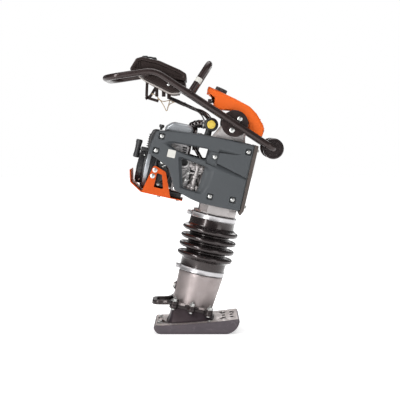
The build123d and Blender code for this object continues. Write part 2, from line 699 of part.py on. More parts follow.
def fuel_tank():
    """The blow-moulded tank, arched over the handle's mounts, with bevelled shoulders."""
    body = plate_y(TANK_TOP + TANK_UNDER, -TANK_HALF_WIDTH + TANK_BEVEL, TANK_HALF_WIDTH - TANK_BEVEL)
    shoulder = [(x - 5, z - 9) for x, z in TANK_TOP] + TANK_UNDER
    inner_face = make_face(Polyline(*TANK_TOP, *TANK_UNDER, close=True))
    outer_face = Pos(0, 0, TANK_BEVEL) * make_face(Polyline(*shoulder, close=True))
    side = Pos(0, -TANK_HALF_WIDTH + TANK_BEVEL, 0) * Rot(90, 0, 0) * loft([inner_face, outer_face])
    body = body + mirrored(side)
    hollow = plate_y(TANK_HOLLOW, -TANK_HALF_WIDTH + 5, TANK_HALF_WIDTH - 5)
    neck = Pos(CAP_X, 0, CAP_Z) * Rot(0, CAP_TILT, 0) * Cylinder(20, 30)
    mouth = Pos(CAP_X, 0, CAP_Z) * Rot(0, CAP_TILT, 0) * Cylinder(14, 60)
    cap_space = Pos(CAP_X, 0, CAP_Z) * Rot(0, CAP_TILT, 0) * Pos(0, 0, 2 + 30) * Cylinder(26, 60)
    tap_hole = Pos(70, -60, 876) * Rot(0, 90, 0) * Cylinder(5, 40)
    return body + neck - hollow - mouth - cap_space - tap_hole


def fuel_cap():
    """The knurled screw cap."""
    knurl = extrude(RegularPolygon(23, 24), 16)
    plug = Pos(0, 0, -8) * Cylinder(13.6, 16.2)
    return Pos(CAP_X, 0, CAP_Z) * Rot(0, CAP_TILT, 0) * Pos(0, 0, 2.2) * (knurl + plug)


def fuel_tap():
    """The tap on the tank's back wall, with its lever."""
    body = Pos(53, -60, 876) * Rot(0, 90, 0) * Cylinder(8, 20)
    stub = Pos(65, -60, 876) * Rot(0, 90, 0) * Cylinder(4.9, 16)
    lever = block(44, 48, -65, -55, 848, 876)
    return body + stub + lever


# Handle, console and rollers

def handle_path_half():
    rear_x, rear_z = HANDLE_REAR
    bend_x, bend_z = HANDLE_BEND
    front_x, front_z = HANDLE_FRONT
    points = [(rear_x, 0, rear_z), (rear_x, -TUBE_Y, rear_z), (bend_x, -TUBE_Y, bend_z)]
    points += [(front_x, -TUBE_Y, front_z), (front_x, 0, front_z)]
    return FilletPolyline(*points, radius=(55, 100, 30))


def bail_half_path():
    foot = (-24.4, -TUBE_Y, 901.7)
    top = (47.5, -TUBE_Y + 42, 1014)
    return FilletPolyline(foot, top, (top[0], 0, top[2]), radius=34)


def handle_frame():
    """The bent tube frame with the lifting bail and the mount tabs welded on."""
    half = swept_tube(handle_path_half(), TUBE_RADIUS, TUBE_RADIUS - 2.5)
    bail = swept_tube(bail_half_path(), BAIL_RADIUS)
    return mirrored(half + (bail - swept_tube(handle_path_half(), TUBE_RADIUS - 1)))


MOUNT_BOLTS = [(161, 808), (132, 766)]
MOUNT_PLATE_Y = 136


def mount_plates():
    """The round plates that tie the tubes to the rubber mounts."""
    plate = rod_y(PIVOT_X, PIVOT_Z, MOUNT_PLATE_Y, MOUNT_PLATE_Y + 13, 50)
    tube_space = mirror(swept_tube(handle_path_half(), TUBE_RADIUS), Plane.XZ)
    for x, z in MOUNT_BOLTS:
        plate = plate - rod_y(x, z, MOUNT_PLATE_Y - 1, MOUNT_PLATE_Y + 14, 5.2)
    return [plate - tube_space, mirror(plate - tube_space, Plane.XZ)]


def mount_bolts():
    bolts = []
    for x, z in MOUNT_BOLTS:
        bolt = Pos(x, MOUNT_PLATE_Y + 13.1, z) * Rot(-90, 0, 0) * hex_bolt(30, 5)
        bolts += [bolt, mirror(bolt, Plane.XZ)]
    return bolts


def shock_mounts():
    """The rubber blocks between the crankcase's cross boss and the handle."""
    boss_y = CASE_HALF_WIDTH + 0.1
    rubber = rod_y(PIVOT_X, PIVOT_Z, boss_y, MOUNT_PLATE_Y - 0.1, 40)
    for x, z in MOUNT_BOLTS:
        rubber = rubber - rod_y(x, z, 110, 140, 5.3)
    return [rubber, mirror(rubber, Plane.XZ)]


def roller(side):
    """One rubber roller on the front cross tube."""
    x, z = HANDLE_FRONT
    inner = side * ROLLER_Y - ROLLER_WIDTH / 2
    outer = side * ROLLER_Y + ROLLER_WIDTH / 2
    wheel = rod_y(x, z, inner, outer, ROLLER_RADIUS)
    wheel = fillet(wheel.edges().filter_by(GeomType.CIRCLE), 4)
    return wheel - rod_y(x, z, inner - 1, outer + 1, TUBE_RADIUS + RUNNING)


CONSOLE_OUTLINE = [(-252, 990), (-224, 1033), (-203, 1039), (-137, 1024), (-60, 990), (-38, 976)]
CONSOLE_OUTLINE += [(-40, 946), (-226, 984)]
CONSOLE_HOLLOW = [(-243, 978), (-221, 1027), (-203, 1033), (-138, 1018), (-62, 984), (-44, 970), (-46, 920)]
BASE_OUTLINE = [(-226, 983.8), (-40, 945.8), (-42, 926), (-64, 907), (-96, 905), (-137, 926), (-190, 953)]
LEVER_PIVOT = (-160, 1036)
SWITCH_PLACE = (-238, 60, 1011.5)
SWITCH_TILT = -57


def console_top():
    """The moulded upper shell of the console."""
    shell = plate_y(CONSOLE_OUTLINE, -CONSOLE_HALF_WIDTH, CONSOLE_HALF_WIDTH)
    side_edges = shell.faces().filter_by(Axis.Y).edges()
    shell = chamfer(side_edges.filter_by(lambda e: e.center().Z > 990), 6)
    inner = CONSOLE_HALF_WIDTH - 6
    shell = shell - plate_y(CONSOLE_HOLLOW, -inner, inner)
    shell = shell - block(-180, -148, -11, 11, 1000, 1060)
    hole = Pos(*SWITCH_PLACE) * Rot(0, SWITCH_TILT, 0) * Cylinder(8.2, 40)
    return shell - hole


def console_base():
    """The lower shell, with the pads that sit on the tubes and the cord's bracket."""
    shell = plate_y(BASE_OUTLINE, -CONSOLE_HALF_WIDTH, CONSOLE_HALF_WIDTH, 3)
    inner = CONSOLE_HALF_WIDTH - 6
    hollow_outline = [(-214, 990), (-48, 950), (-50, 930), (-67, 913), (-95, 911), (-135, 932)]
    hollow = plate_y(hollow_outline, -inner, inner)
    pad = rod_y(-70, 931, CONSOLE_HALF_WIDTH - 1, TUBE_Y - TUBE_RADIUS, 9)
    bar = 4
    hook_outline = [(-193, 950), (-188, 950), (-192, 893), (-146, 878), (-147, 873), (-197, 889)]
    hook = plate_y(hook_outline, -bar, bar)
    brace = plate_y([(-173, 900), (-167, 900), (-150, 934), (-157, 936)], -bar, bar)
    foot = plate_y([(-178, 886), (-172, 884), (-166, 902), (-172, 902)], -bar, bar)
    return shell - hollow + mirrored(pad) + hook + brace + foot


def throttle_lever():
    """The throttle lever, lying on the console with its knob to the rear."""
    x, z = LEVER_PIVOT
    hub = rod_y(x, z, -9, 9, 8)
    arm = plate_y([(x, z - 3), (x, z + 4), (x - 40, z + 10), (x - 40, z + 4)], -6, 6)
    knob = block(x - 48, x - 26, -19, 19, z + 4.5, z + 14)
    knob = fillet(knob.edges().filter_by(Axis.Y), 4)
    return hub + arm + knob


def stop_switch():
    """The push button that stops the engine."""
    button = Pos(0, 0, 3) * Cylinder(8, 14)
    return Pos(*SWITCH_PLACE) * Rot(0, SWITCH_TILT, 0) * button


def cable_conduit():
    """The sleeve around the throttle cable and the switch wires."""
    points = [(-102, -30, 893), (-63, -30, 872), (-25, -30, 854), (13, -30, 837), (32, -30, 818)]
    path = Spline(*points)
    return swept_tube(path, 6.5)


def spring_set(solids):
    return [LEG_FRAME * solid for solid in solids]


NODES = {
    "shoe_body": lambda: whole_shoe() - plate_space() - shoe_bolt_holes(),
    "shoe_top_plate": lambda: (whole_shoe() & plate_space()) - shoe_bolt_holes(),
    "shoe_bolts": shoe_bolt_solids,
    "foot_casting": foot_casting,
    "flange_nuts": flange_nuts,
    "toe_loop": toe_loop,
    "leg_tube": lambda: LEG_FRAME * leg_tube(),
    "oil_sight_glass": lambda: LEG_FRAME * oil_sight_glass(),
    "spring_cylinder": lambda: LEG_FRAME * spring_cylinder(),
    "spring_cylinder_cap": lambda: LEG_FRAME * spring_cylinder_cap(),
    "plunger": lambda: LEG_FRAME * plunger(),
    "springs_upper": lambda: spring_set(springs_upper()),
    "springs_lower": lambda: spring_set(springs_lower()),
    "bellows": lambda: LEG_FRAME * bellows(),
    "lower_clamp": lambda: LEG_FRAME * clamp(CLAMP_HEIGHTS[0]),
    "upper_clamp": lambda: LEG_FRAME * clamp(CLAMP_HEIGHTS[1]),
    "guide_cylinder": lambda: LEG_FRAME * guide_cylinder(),
    "crankcase": lambda: LEG_FRAME * crankcase(),
    "crankcase_cover": lambda: LEG_FRAME * crankcase_cover(),
    "crank_gear": lambda: LEG_FRAME * crank_gear(),
    "conrod": lambda: LEG_FRAME * conrod(),
    "clutch_drum": lambda: LEG_FRAME * clutch_drum(),
    "crankshaft": lambda: LEG_FRAME * crankshaft(),
    "clutch_shoe_upper": lambda: LEG_FRAME * clutch_shoe(1),
    "clutch_shoe_lower": lambda: LEG_FRAME * clutch_shoe(-1),
    "flywheel": lambda: LEG_FRAME * flywheel(),
    "engine_block": lambda: LEG_FRAME * engine_block(),
    "engine_cylinder": lambda: LEG_FRAME * engine_cylinder(),
    "valve_cover": lambda: LEG_FRAME * valve_cover(),
    "muffler": lambda: LEG_FRAME * muffler(),
    "muffler_shield": lambda: LEG_FRAME * muffler_shield(),
    "carburettor": lambda: LEG_FRAME * carburettor(),
    "choke_lever": lambda: LEG_FRAME * choke_lever(),
    "air_filter_can": air_filter_can,
    "air_filter_cap": air_filter_cap,
    "intake_hose": intake_hose,
    "fan_shroud": lambda: LEG_FRAME * fan_shroud(),
    "recoil_housing": lambda: LEG_FRAME * recoil_housing(),
    "recoil_pulley": lambda: LEG_FRAME * recoil_pulley(),
    "recoil_grip": lambda: LEG_FRAME * recoil_grip(),
    "starter_rope": lambda: LEG_FRAME * starter_rope(),
    "guard_right": lambda: LEG_FRAME * guard_right(),
    "guard_left": lambda: LEG_FRAME * mirror(guard_right(), Plane.XZ),
    "guard_bolts": guard_bolts,
    "front_plate": lambda: LEG_FRAME * front_plate(),
    "engine_guard": lambda: LEG_FRAME * engine_guard(),
    "fuel_tank": fuel_tank,
    "fuel_cap": fuel_cap,
    "fuel_tap": fuel_tap,
    "handle_frame": handle_frame,
    "mount_plates": mount_plates,
    "mount_bolts": mount_bolts,
    "shock_mounts": shock_mounts,
    "roller_right": lambda: roller(-1),
    "roller_left": lambda: roller(1),
    "console_top": console_top,
    "console_base": console_base,
    "throttle_lever": throttle_lever,
    "stop_switch": stop_switch,
    "cable_conduit": cable_conduit,
}

os.makedirs("parts", exist_ok=True)
for name, make in NODES.items():
    shape = make()
    if isinstance(shape, list):
        shape = Compound(children=[solid for piece in shape for solid in piece.solids()])
    shape.label = name
    export_step(shape, "parts/" + name + ".step")
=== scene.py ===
import json
from math import cos, hypot, pi, radians, sin, tan
import bmesh
import bpy
import numpy as np
from mathutils import Matrix, Vector
from mathutils.geometry import delaunay_2d_cdt


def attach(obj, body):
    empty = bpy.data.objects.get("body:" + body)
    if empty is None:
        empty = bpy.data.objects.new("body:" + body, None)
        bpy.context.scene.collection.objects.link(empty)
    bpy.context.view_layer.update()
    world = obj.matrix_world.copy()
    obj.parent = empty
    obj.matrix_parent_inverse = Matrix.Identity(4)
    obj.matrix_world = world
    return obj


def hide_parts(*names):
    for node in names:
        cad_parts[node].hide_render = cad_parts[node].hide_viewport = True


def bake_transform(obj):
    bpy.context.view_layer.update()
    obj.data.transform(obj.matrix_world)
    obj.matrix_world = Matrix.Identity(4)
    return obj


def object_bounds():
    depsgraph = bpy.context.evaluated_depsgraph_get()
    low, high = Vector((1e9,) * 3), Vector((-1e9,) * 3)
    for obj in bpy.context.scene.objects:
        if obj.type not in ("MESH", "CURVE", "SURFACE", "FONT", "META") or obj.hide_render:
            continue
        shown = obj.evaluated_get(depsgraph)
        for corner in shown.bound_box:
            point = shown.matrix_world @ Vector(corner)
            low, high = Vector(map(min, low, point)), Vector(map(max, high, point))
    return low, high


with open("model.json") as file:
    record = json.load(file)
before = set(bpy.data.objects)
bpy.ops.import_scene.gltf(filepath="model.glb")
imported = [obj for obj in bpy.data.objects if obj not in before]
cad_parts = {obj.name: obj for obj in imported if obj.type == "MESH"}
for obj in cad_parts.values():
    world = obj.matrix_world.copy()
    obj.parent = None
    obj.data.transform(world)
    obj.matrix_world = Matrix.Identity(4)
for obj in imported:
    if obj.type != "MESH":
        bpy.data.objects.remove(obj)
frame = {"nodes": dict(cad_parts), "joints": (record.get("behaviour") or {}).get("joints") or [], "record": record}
cad_low, cad_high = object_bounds()

# Two frames, both in millimetres. ROW is the part's own frame. LEG has p forward across the leg,
# y to the left and h up the leg, which leans forward.
MM = 0.001
JOINTS = {joint["name"]: joint for joint in frame["joints"]}
LEG_UP = Vector(JOINTS["ram_stroke"]["axis"]).normalized()
LEG_FORWARD = Vector(JOINTS["crank_spin"]["axis"]).normalized()
CRANK_HEIGHT = 576
LEG_ORIGIN = Vector(JOINTS["crank_spin"]["pos_m"]) - CRANK_HEIGHT * MM * LEG_UP
ROW = Matrix.Scale(MM, 4)
AXES = Matrix((LEG_FORWARD, Vector((0, 1, 0)), LEG_UP)).transposed().to_4x4()
LEG = Matrix.Translation(LEG_ORIGIN) @ AXES @ ROW
ENGINE_HEIGHT = 480


# Shapes. A shape is (vertices, faces) in millimetres.

def join(*shapes):
    vertices, faces = [], []
    for some_vertices, some_faces in shapes:
        base = len(vertices)
        vertices += list(some_vertices)
        faces += [[base + i for i in face] for face in some_faces]
    return vertices, faces


def moved(shape, matrix):
    return [tuple(matrix @ Vector(v)) for v in shape[0]], shape[1]


def at(x, y, z):
    return Matrix.Translation((x, y, z))


def turn(degrees, axis):
    return Matrix.Rotation(radians(degrees), 4, axis)


TO_RIGHT = turn(90, "X")      # +Z of a shape points to the machine's right, -Y
TO_LEFT = turn(-90, "X")


def mirrored(shape):
    """The shape's mirror image on the machine's other side."""
    return [(x, -y, z) for x, y, z in shape[0]], [list(reversed(face)) for face in shape[1]]


def both_sides(shape):
    return join(shape, mirrored(shape))


def corner(before, here, after, radius, steps):
    """The arc that rounds one corner of a path."""
    a = Vector(before) - Vector(here)
    c = Vector(after) - Vector(here)
    inside = a.angle(c)
    sweep_angle = pi - inside
    if sweep_angle < 0.03 or radius <= 0:
        return [Vector(here)]
    reach = min(radius / tan(inside / 2), 0.48 * a.length, 0.48 * c.length)
    radius = reach * tan(inside / 2)
    middle = Vector(here) + (a.normalized() + c.normalized()).normalized() * radius / sin(inside / 2)
    start = Vector(here) + a.normalized() * reach - middle
    end = Vector(here) + c.normalized() * reach - middle
    arc = []
    for i in range(steps + 1):
        f = i / steps
        mix = start * sin((1 - f) * sweep_angle) + end * sin(f * sweep_angle)
        arc.append(middle + mix / sin(sweep_angle))
    return arc


def rounded(points, radius, steps=5):
    """A closed outline with round corners. radius is one number or one for each point."""
    radii = radius if isinstance(radius, (list, tuple)) else [radius] * len(points)
    flat = [Vector((x, y, 0)) for x, y in points]
    out = []
    for i, point in enumerate(flat):
        out += corner(flat[i - 1], point, flat[(i + 1) % len(flat)], radii[i], steps)
    return [(v.x, v.y) for v in out]


def path(points, radius, steps=8):
    """An open path with round corners."""
    radii = radius if isinstance(radius, (list, tuple)) else [radius] * (len(points) - 2)
    out = [Vector(points[0])]
    for i in range(1, len(points) - 1):
        out += corner(points[i - 1], points[i], points[i + 1], radii[i - 1], steps)
    return out + [Vector(points[-1])]


def smooth_path(points, steps=8):
    """A smooth curve through points (Catmull-Rom)."""
    ends = [2 * Vector(points[0]) - Vector(points[1])]
    ends += [Vector(p) for p in points] + [2 * Vector(points[-1]) - Vector(points[-2])]
    out = []
    for i in range(1, len(ends) - 2):
        a, b, c, d = ends[i - 1:i + 3]
        for k in range(steps):
            t = k / steps
            first = 2 * b + (c - a) * t
            out.append(0.5 * (first + (2 * a - 5 * b + 4 * c - d) * t * t + (3 * b - a - 3 * c + d) * t ** 3))
    return out + [Vector(points[-1])]


def ring(radius, sides):
    return [(radius * cos(2 * pi * k / sides), radius * sin(2 * pi * k / sides)) for k in range(sides)]


def loft(loops, caps=True, closed=False):
    """Quads between loops of equal length."""
    count = len(loops[0])
    vertices = [tuple(v) for loop in loops for v in loop]
    faces = []
    for i in range(len(loops) if closed else len(loops) - 1):
        low = i * count
        high = (i + 1) % len(loops) * count
        for k in range(count):
            n = (k + 1) % count
            faces.append([low + k, low + n, high + n, high + k])
    if caps and not closed:
        faces.append(list(range(count))[::-1])
        faces.append([(len(loops) - 1) * count + k for k in range(count)])
    return vertices, faces


def sweep(points, section, up=(0, 0, 1), closed=False):
    """A section carried along a path. section is a list of (u, v), or a function of the point's number."""
    points = [Vector(p) for p in points]
    loops = []
    normal = None
    last = None
    for i, point in enumerate(points):
        ahead = points[(i + 1) % len(points)] if closed or i + 1 < len(points) else point
        behind = points[i - 1] if closed or i else point
        tangent = (ahead - behind).normalized()
        if normal is None:
            normal = (Vector(up) - tangent * tangent.dot(Vector(up))).normalized()
        else:
            normal = last.rotation_difference(tangent) @ normal
            normal = (normal - tangent * tangent.dot(normal)).normalized()
        last = tangent
        side = tangent.cross(normal)
        outline = section(i) if callable(section) else section
        loops.append([point + normal * u + side * v for u, v in outline])
    return loft(loops, closed=closed)


def tube(points, radius, sides=28, **options):
    return sweep(points, ring(radius, sides), **options)


def lathe(profile, sides=72):
    """A solid of revolution about Z from (radius, height) points."""
    loops = [[(x, y, z) for x, y in ring(max(r, 0.001), sides)] for r, z in profile]
    return loft(loops, caps=profile[0] != profile[-1])


def slab(low, high, bevel=1.5, segments=2):
    """A box with rounded edges."""
    bm = bmesh.new()
    bmesh.ops.create_cube(bm, size=1)
    size = Vector(high) - Vector(low)
    for v in bm.verts:
        v.co = Vector(low) + Vector((size.x * (v.co.x + 0.5), size.y * (v.co.y + 0.5),
                                     size.z * (v.co.z + 0.5)))
    if bevel:
        bevel = min(bevel, 0.45 * min(size))
        bmesh.ops.bevel(bm, geom=bm.edges[:], offset=bevel, segments=segments, profile=0.5, affect="EDGES")
    return taken(bm)


def taken(bm):
    bm.verts.index_update()
    shape = [tuple(v.co) for v in bm.verts], [[v.index for v in face.verts] for face in bm.faces]
    bm.free()
    return shape


def panel(outline, y_low, y_high, holes=(), bevel=1.0, segments=2):
    """A plate of (across, up) outline from y_low to y_high, with holes and rounded edges."""
    curve = bpy.data.curves.new("outline", "CURVE")
    curve.dimensions = "2D"
    curve.fill_mode = "BOTH"
    for loop in [outline, *holes]:
        spline = curve.splines.new("POLY")
        spline.points.add(len(loop) - 1)
        for point, (x, z) in zip(spline.points, loop):
            point.co = (x, z, 0, 1)
        spline.use_cyclic_u = True
    curve.extrude = (y_high - y_low) / 2 - bevel
    curve.bevel_depth = bevel
    curve.bevel_resolution = segments
    curve.offset = -bevel
    holder = bpy.data.objects.new("outline", curve)
    bpy.context.scene.collection.objects.link(holder)
    graph = bpy.context.evaluated_depsgraph_get()
    mesh = bpy.data.meshes.new_from_object(holder.evaluated_get(graph))
    middle = (y_high + y_low) / 2
    shape = [(v.co.x, middle - v.co.z, v.co.y) for v in mesh.vertices], [list(f.vertices)
                                                                         for f in mesh.polygons]
    bpy.data.objects.remove(holder)
    bpy.data.curves.remove(curve)
    bpy.data.meshes.remove(mesh)
    return shape


def hex_head(radius, height):
    """A hexagon head on 0, up +Z, with its top corners chamfered."""
    def hexagon(size, z, soften):
        loop = []
        for k in range(24):
            angle = 2 * pi * k / 24
            flat = cos(pi / 6) / cos((angle % (pi / 3)) - pi / 6)
            reach = size * (flat * (1 - soften) + cos(pi / 6) * soften)
            loop.append((reach * cos(angle), reach * sin(angle), z))
        return loop
    rim = hexagon(radius, 0, 0), hexagon(radius, 0.72 * height, 0)
    top = hexagon(radius, 0.9 * height, 0.6), hexagon(0.88 * radius, height, 1)
    dish = hexagon(0.5 * radius, height, 1), hexagon(0.42 * radius, 0.93 * height, 1)
    return loft([*rim, *top, *dish])


def flange_bolt(size=8, shank=0):
    """A flange bolt up +Z from 0. size is across its head's corners, halved."""
    flange = lathe([(0, 0), (1.45 * size, 0), (1.5 * size, 0.12 * size), (0.95 * size, 0.35 * size),
                    (0, 0.35 * size)], 32)
    shape = join(flange, moved(hex_head(size, 0.85 * size), at(0, 0, 0.3 * size)))
    if shank:
        shape = join(shape, lathe([(0, -shank), (0.5 * size, -shank), (0.5 * size, 0.1), (0, 0.1)], 20))
    return shape


def stud_nut(rise, size=9.5, thread=5):
    """A washer, a nut and the end of its stud, up +Z from 0."""
    washer = lathe([(0, 0), (1.25 * size, 0), (1.25 * size, 1.6), (1.15 * size, 2.2), (0, 2.2)], 32)
    nut = moved(hex_head(size, 8.5), at(0, 0, 2.1))
    turns = []
    steps = int((rise - 9) / 0.6)
    for k in range(steps + 1):
        turns.append((thread - 0.45 * (k % 2), 9 + 0.6 * k))
    stud = lathe([(0, 2)] + turns + [(thread - 1.2, rise + 0.8), (0, rise + 0.8)], 20)
    return join(washer, nut, stud)


# Distances to outlines, for the moulded reliefs

def edge_distance(points, outline):
    """How far each point lies inside an outline. Outside it is negative."""
    points = np.asarray(points, float)
    best = np.full(len(points), 1e9)
    inside = np.zeros(len(points), bool)
    for (ax, ay), (bx, by) in zip(outline, outline[1:] + outline[:1]):
        d = np.array([bx - ax, by - ay])
        t = np.clip(((points - (ax, ay)) @ d) / max(d @ d, 1e-9), 0, 1)
        best = np.minimum(best, np.hypot(*(points - (ax, ay) - t[:, None] * d).T))
        crosses = (ay > points[:, 1]) != (by > points[:, 1])
        with np.errstate(divide="ignore", invalid="ignore"):
            cut = ax + (points[:, 1] - ay) * (bx - ax) / (by - ay)
        inside ^= crosses & (points[:, 0] < cut)
    return np.where(inside, best, -best)


def ease(x):
    x = np.clip(x, 0, 1)
    return x * x * (3 - 2 * x)


def resampled(outline, step):
    out = []
    for (ax, ay), (bx, by) in zip(outline, outline[1:] + outline[:1]):
        count = max(1, round(hypot(bx - ax, by - ay) / step))
        out += [(ax + (bx - ax) * k / count, ay + (by - ay) * k / count) for k in range(count)]
    return out


def relief(outline, holes, depth, y_face, thickness, step=2.6, guides=()):
    """A moulded sheet on the machine's right.

    depth gives how far each (across, up) point lies behind y_face.
    """
    edges = [resampled(loop, step) for loop in [outline, *holes]]
    lines = [resampled(loop, step) for loop in guides]
    xs, zs = zip(*outline)
    grid = np.array([(x, z) for x in np.arange(min(xs), max(xs), step)
                     for z in np.arange(min(zs), max(zs), step)])
    keep = edge_distance(grid, edges[0]) > 0.6 * step
    for hole in edges[1:]:
        keep &= edge_distance(grid, hole) < -0.6 * step
    for line in lines:
        keep &= abs(edge_distance(grid, line)) > 0.45 * step
    points = []
    loops = []
    for loop in edges:
        loops.append(list(range(len(points), len(points) + len(loop))))
        points += loop
    points += [point for line in lines for point in line] + [tuple(p) for p in grid[keep]]
    faces_in = [loops[0]] + [list(reversed(loop)) for loop in loops[1:]]
    found, _, faces, _, _, _ = delaunay_2d_cdt([Vector(p) for p in points], [], faces_in, 1, 0.01)
    flat = np.array([(v.x, v.y) for v in found])
    middles = np.array([flat[list(face)].mean(0) for face in faces])
    inside = edge_distance(middles, edges[0]) > 0
    for hole in edges[1:]:
        inside &= edge_distance(middles, hole) < 0
    faces = [list(face) for face, good in zip(faces, inside) if good]
    depths = depth(flat)
    front = [(x, -y_face + d, z) for (x, z), d in zip(flat, depths)]
    back = [(x, -y_face + d + thickness, z) for (x, z), d in zip(flat, depths)]
    count = len(front)
    used = {}
    for face in faces:
        for a, b in zip(face, face[1:] + face[:1]):
            used[a, b] = True
    walls = [[b, a, a + count, b + count] for a, b in used if (b, a) not in used]
    backs = [[i + count for i in reversed(face)] for face in faces]
    return front + back, faces + backs + walls


# Pieces

def piece(name, shape, place, body, finish, stands_for=(), crease=38):
    """A named mesh object that rides on a body."""
    mesh = bpy.data.meshes.new(name)
    mesh.from_pydata([place @ Vector(v) for v in shape[0]], [], shape[1])
    bm = bmesh.new()
    bm.from_mesh(mesh)
    bmesh.ops.remove_doubles(bm, verts=bm.verts, dist=0.00001)
    bmesh.ops.dissolve_degenerate(bm, edges=bm.edges, dist=0.00001)
    bmesh.ops.recalc_face_normals(bm, faces=bm.faces)
    bm.to_mesh(mesh)
    bm.free()
    mesh.shade_smooth()
    mesh.set_sharp_from_angle(angle=radians(crease))
    thing = bpy.data.objects.new(name, mesh)
    bpy.context.scene.collection.objects.link(thing)
    weighted = thing.modifiers.new("normals", "WEIGHTED_NORMAL")
    weighted.keep_sharp = True
    slot_name, coat = finish
    mesh.materials.append(coat)
    if body:
        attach(thing, body)
    if stands_for:
        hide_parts(*stands_for)
    return thing


# Materials

def material(name, colour, rough, metal=0.0, tint=None, patch=6, patch_amount=0.5, grain=400, bump=0.15,
             rough_spread=0.12, wear=None, wear_amount=0.5, stretch=(1, 1, 1), coat=0.0, sheen=0.0,
             cells=False,
             pits=0.0, scratches=0.0, hollow_shade=0.55, shine=0.5, glint=(1, 1, 1)):
    """A procedural finish: two colours in soft patches, fine grain in bump and roughness, worn edges, and painted
    shade that darkens the colour in hollows.
    """
    made = bpy.data.materials.new(name)
    made.use_nodes = True
    nodes = made.node_tree.nodes
    links = made.node_tree.links
    shader = nodes["Principled BSDF"]

    def node(kind, **values):
        new = nodes.new(kind)
        for key, value in values.items():
            if key in new.inputs:
                new.inputs[key].default_value = value
            else:
                setattr(new, key, value)
        return new

    def noise(scale, detail=4, vector=None):
        made_noise = node("ShaderNodeTexNoise", Scale=scale, Detail=detail)
        links.new(vector or mapping.outputs["Vector"], made_noise.inputs["Vector"])
        return made_noise.outputs["Fac"]

    def ramp(value, low, high, bottom=0.0, top=1.0):
        out = node("ShaderNodeMapRange")
        for key, number in (("From Min", low), ("From Max", high), ("To Min", bottom), ("To Max", top)):
            out.inputs[key].default_value = number
        links.new(value, out.inputs["Value"])
        return out.outputs["Result"]

    def mix(factor, first, second):
        blend = nodes.new("ShaderNodeMix")
        blend.data_type = "RGBA"
        for socket, value in ((0, factor), (6, first), (7, second)):
            if hasattr(value, "is_output"):
                links.new(value, blend.inputs[socket])
            else:
                blend.inputs[socket].default_value = value if isinstance(value, float) else (*value, 1)
        return blend.outputs[2]

    place = nodes.new("ShaderNodeTexCoord")
    mapping = node("ShaderNodeMapping", Scale=stretch)
    links.new(place.outputs["Object"], mapping.inputs["Vector"])
    tint = tint or tuple(c * 0.78 for c in colour)
    patches = ramp(noise(patch), 0.35, 0.65, 0.0, patch_amount)
    shade = mix(patches, colour, tint)
    fine = noise(grain, 6)
    shade = mix(ramp(fine, 0.4, 0.75, 0.0, 0.35), shade, tuple(c * 0.8 for c in tint))
    if wear:
        edges = nodes.new("ShaderNodeNewGeometry").outputs["Pointiness"]
        ragged = node("ShaderNodeMath", operation="MULTIPLY")
        links.new(ramp(edges, 0.56, 0.7), ragged.inputs[0])
        links.new(ramp(noise(90), 0.4, 0.6, 0.2, wear_amount), ragged.inputs[1])
        shade = mix(ragged.outputs[0], shade, wear)
    if scratches:
        lines = noise(35, 8)
        thin = ramp(noise(14, 12), 0.49, 0.505)
        thin_end = ramp(noise(14, 12), 0.515, 0.5)
        band = node("ShaderNodeMath", operation="MULTIPLY")
        links.new(thin, band.inputs[0])
        links.new(thin_end, band.inputs[1])
        faint = node("ShaderNodeMath", operation="MULTIPLY")
        links.new(band.outputs[0], faint.inputs[0])
        links.new(ramp(lines, 0.45, 0.6, 0.0, scratches), faint.inputs[1])
        shade = mix(faint.outputs[0], shade, tuple(min(1, c * 1.8 + 0.05) for c in colour))
    # Painted shade: ambient occlusion darkens the base colour in hollows, creases and between parts, down towards
    # 0.18 of the colour.
    if hollow_shade:
        hollow = node("ShaderNodeAmbientOcclusion", Distance=0.016, samples=8)
        painted_hollow_shade = ramp(hollow.outputs["AO"], 0.25, 0.95, hollow_shade, 0.0)
        shade = mix(painted_hollow_shade, shade, tuple(0.18 * c for c in colour))
    links.new(shade, shader.inputs["Base Color"])
    shader.inputs["Specular IOR Level"].default_value = shine
    shader.inputs["Specular Tint"].default_value = (*glint, 1)
    links.new(ramp(noise(patch * 4), 0.3, 0.7, rough - rough_spread, rough + rough_spread),
              shader.inputs["Roughness"])
    shader.inputs["Metallic"].default_value = metal
    shader.inputs["Coat Weight"].default_value = coat
    shader.inputs["Coat Roughness"].default_value = 0.12
    shader.inputs["Sheen Weight"].default_value = sheen
    height = fine
    if cells:
        voronoi = node("ShaderNodeTexVoronoi", Scale=grain * 0.8)
        links.new(mapping.outputs["Vector"], voronoi.inputs["Vector"])
        height = voronoi.outputs["Distance"]
    if pits:
        deep = ramp(noise(grain * 0.35, 3), 0.3, 0.45)
        total = node("ShaderNodeMath", operation="MULTIPLY_ADD")
        links.new(deep, total.inputs[0])
        total.inputs[1].default_value = pits
        links.new(height, total.inputs[2])
        height = total.outputs[0]
    relief_node = node("ShaderNodeBump", Strength=bump, Distance=0.0006)
    links.new(height, relief_node.inputs["Height"])
    links.new(relief_node.outputs["Normal"], shader.inputs["Normal"])
    return made


def braid(name, colour, dark, scale):
    """Twisted cord: dark slanted grooves between light strands."""
    made = material(name, colour, 0.85, tint=dark, patch=60, grain=1500, bump=0.3, sheen=0.4)
    nodes = made.node_tree.nodes
    links = made.node_tree.links
    wave = nodes.new("ShaderNodeTexWave")
    wave.bands_direction = "DIAGONAL"
    wave.inputs["Scale"].default_value = scale
    wave.inputs["Distortion"].default_value = 1.5
    place = next(n for n in nodes if n.type == "TEX_COORD")
    links.new(place.outputs["Object"], wave.inputs["Vector"])
    blend = nodes.new("ShaderNodeMix")
    blend.data_type = "RGBA"
    blend.inputs[6].default_value = (*dark, 1)
    blend.inputs[7].default_value = (*colour, 1)
    links.new(wave.outputs["Fac"], blend.inputs[0])
    links.new(blend.outputs[2], nodes["Principled BSDF"].inputs["Base Color"])
    bump = next(n for n in nodes if n.type == "BUMP")
    links.new(wave.outputs["Fac"], bump.inputs["Height"])
    return made


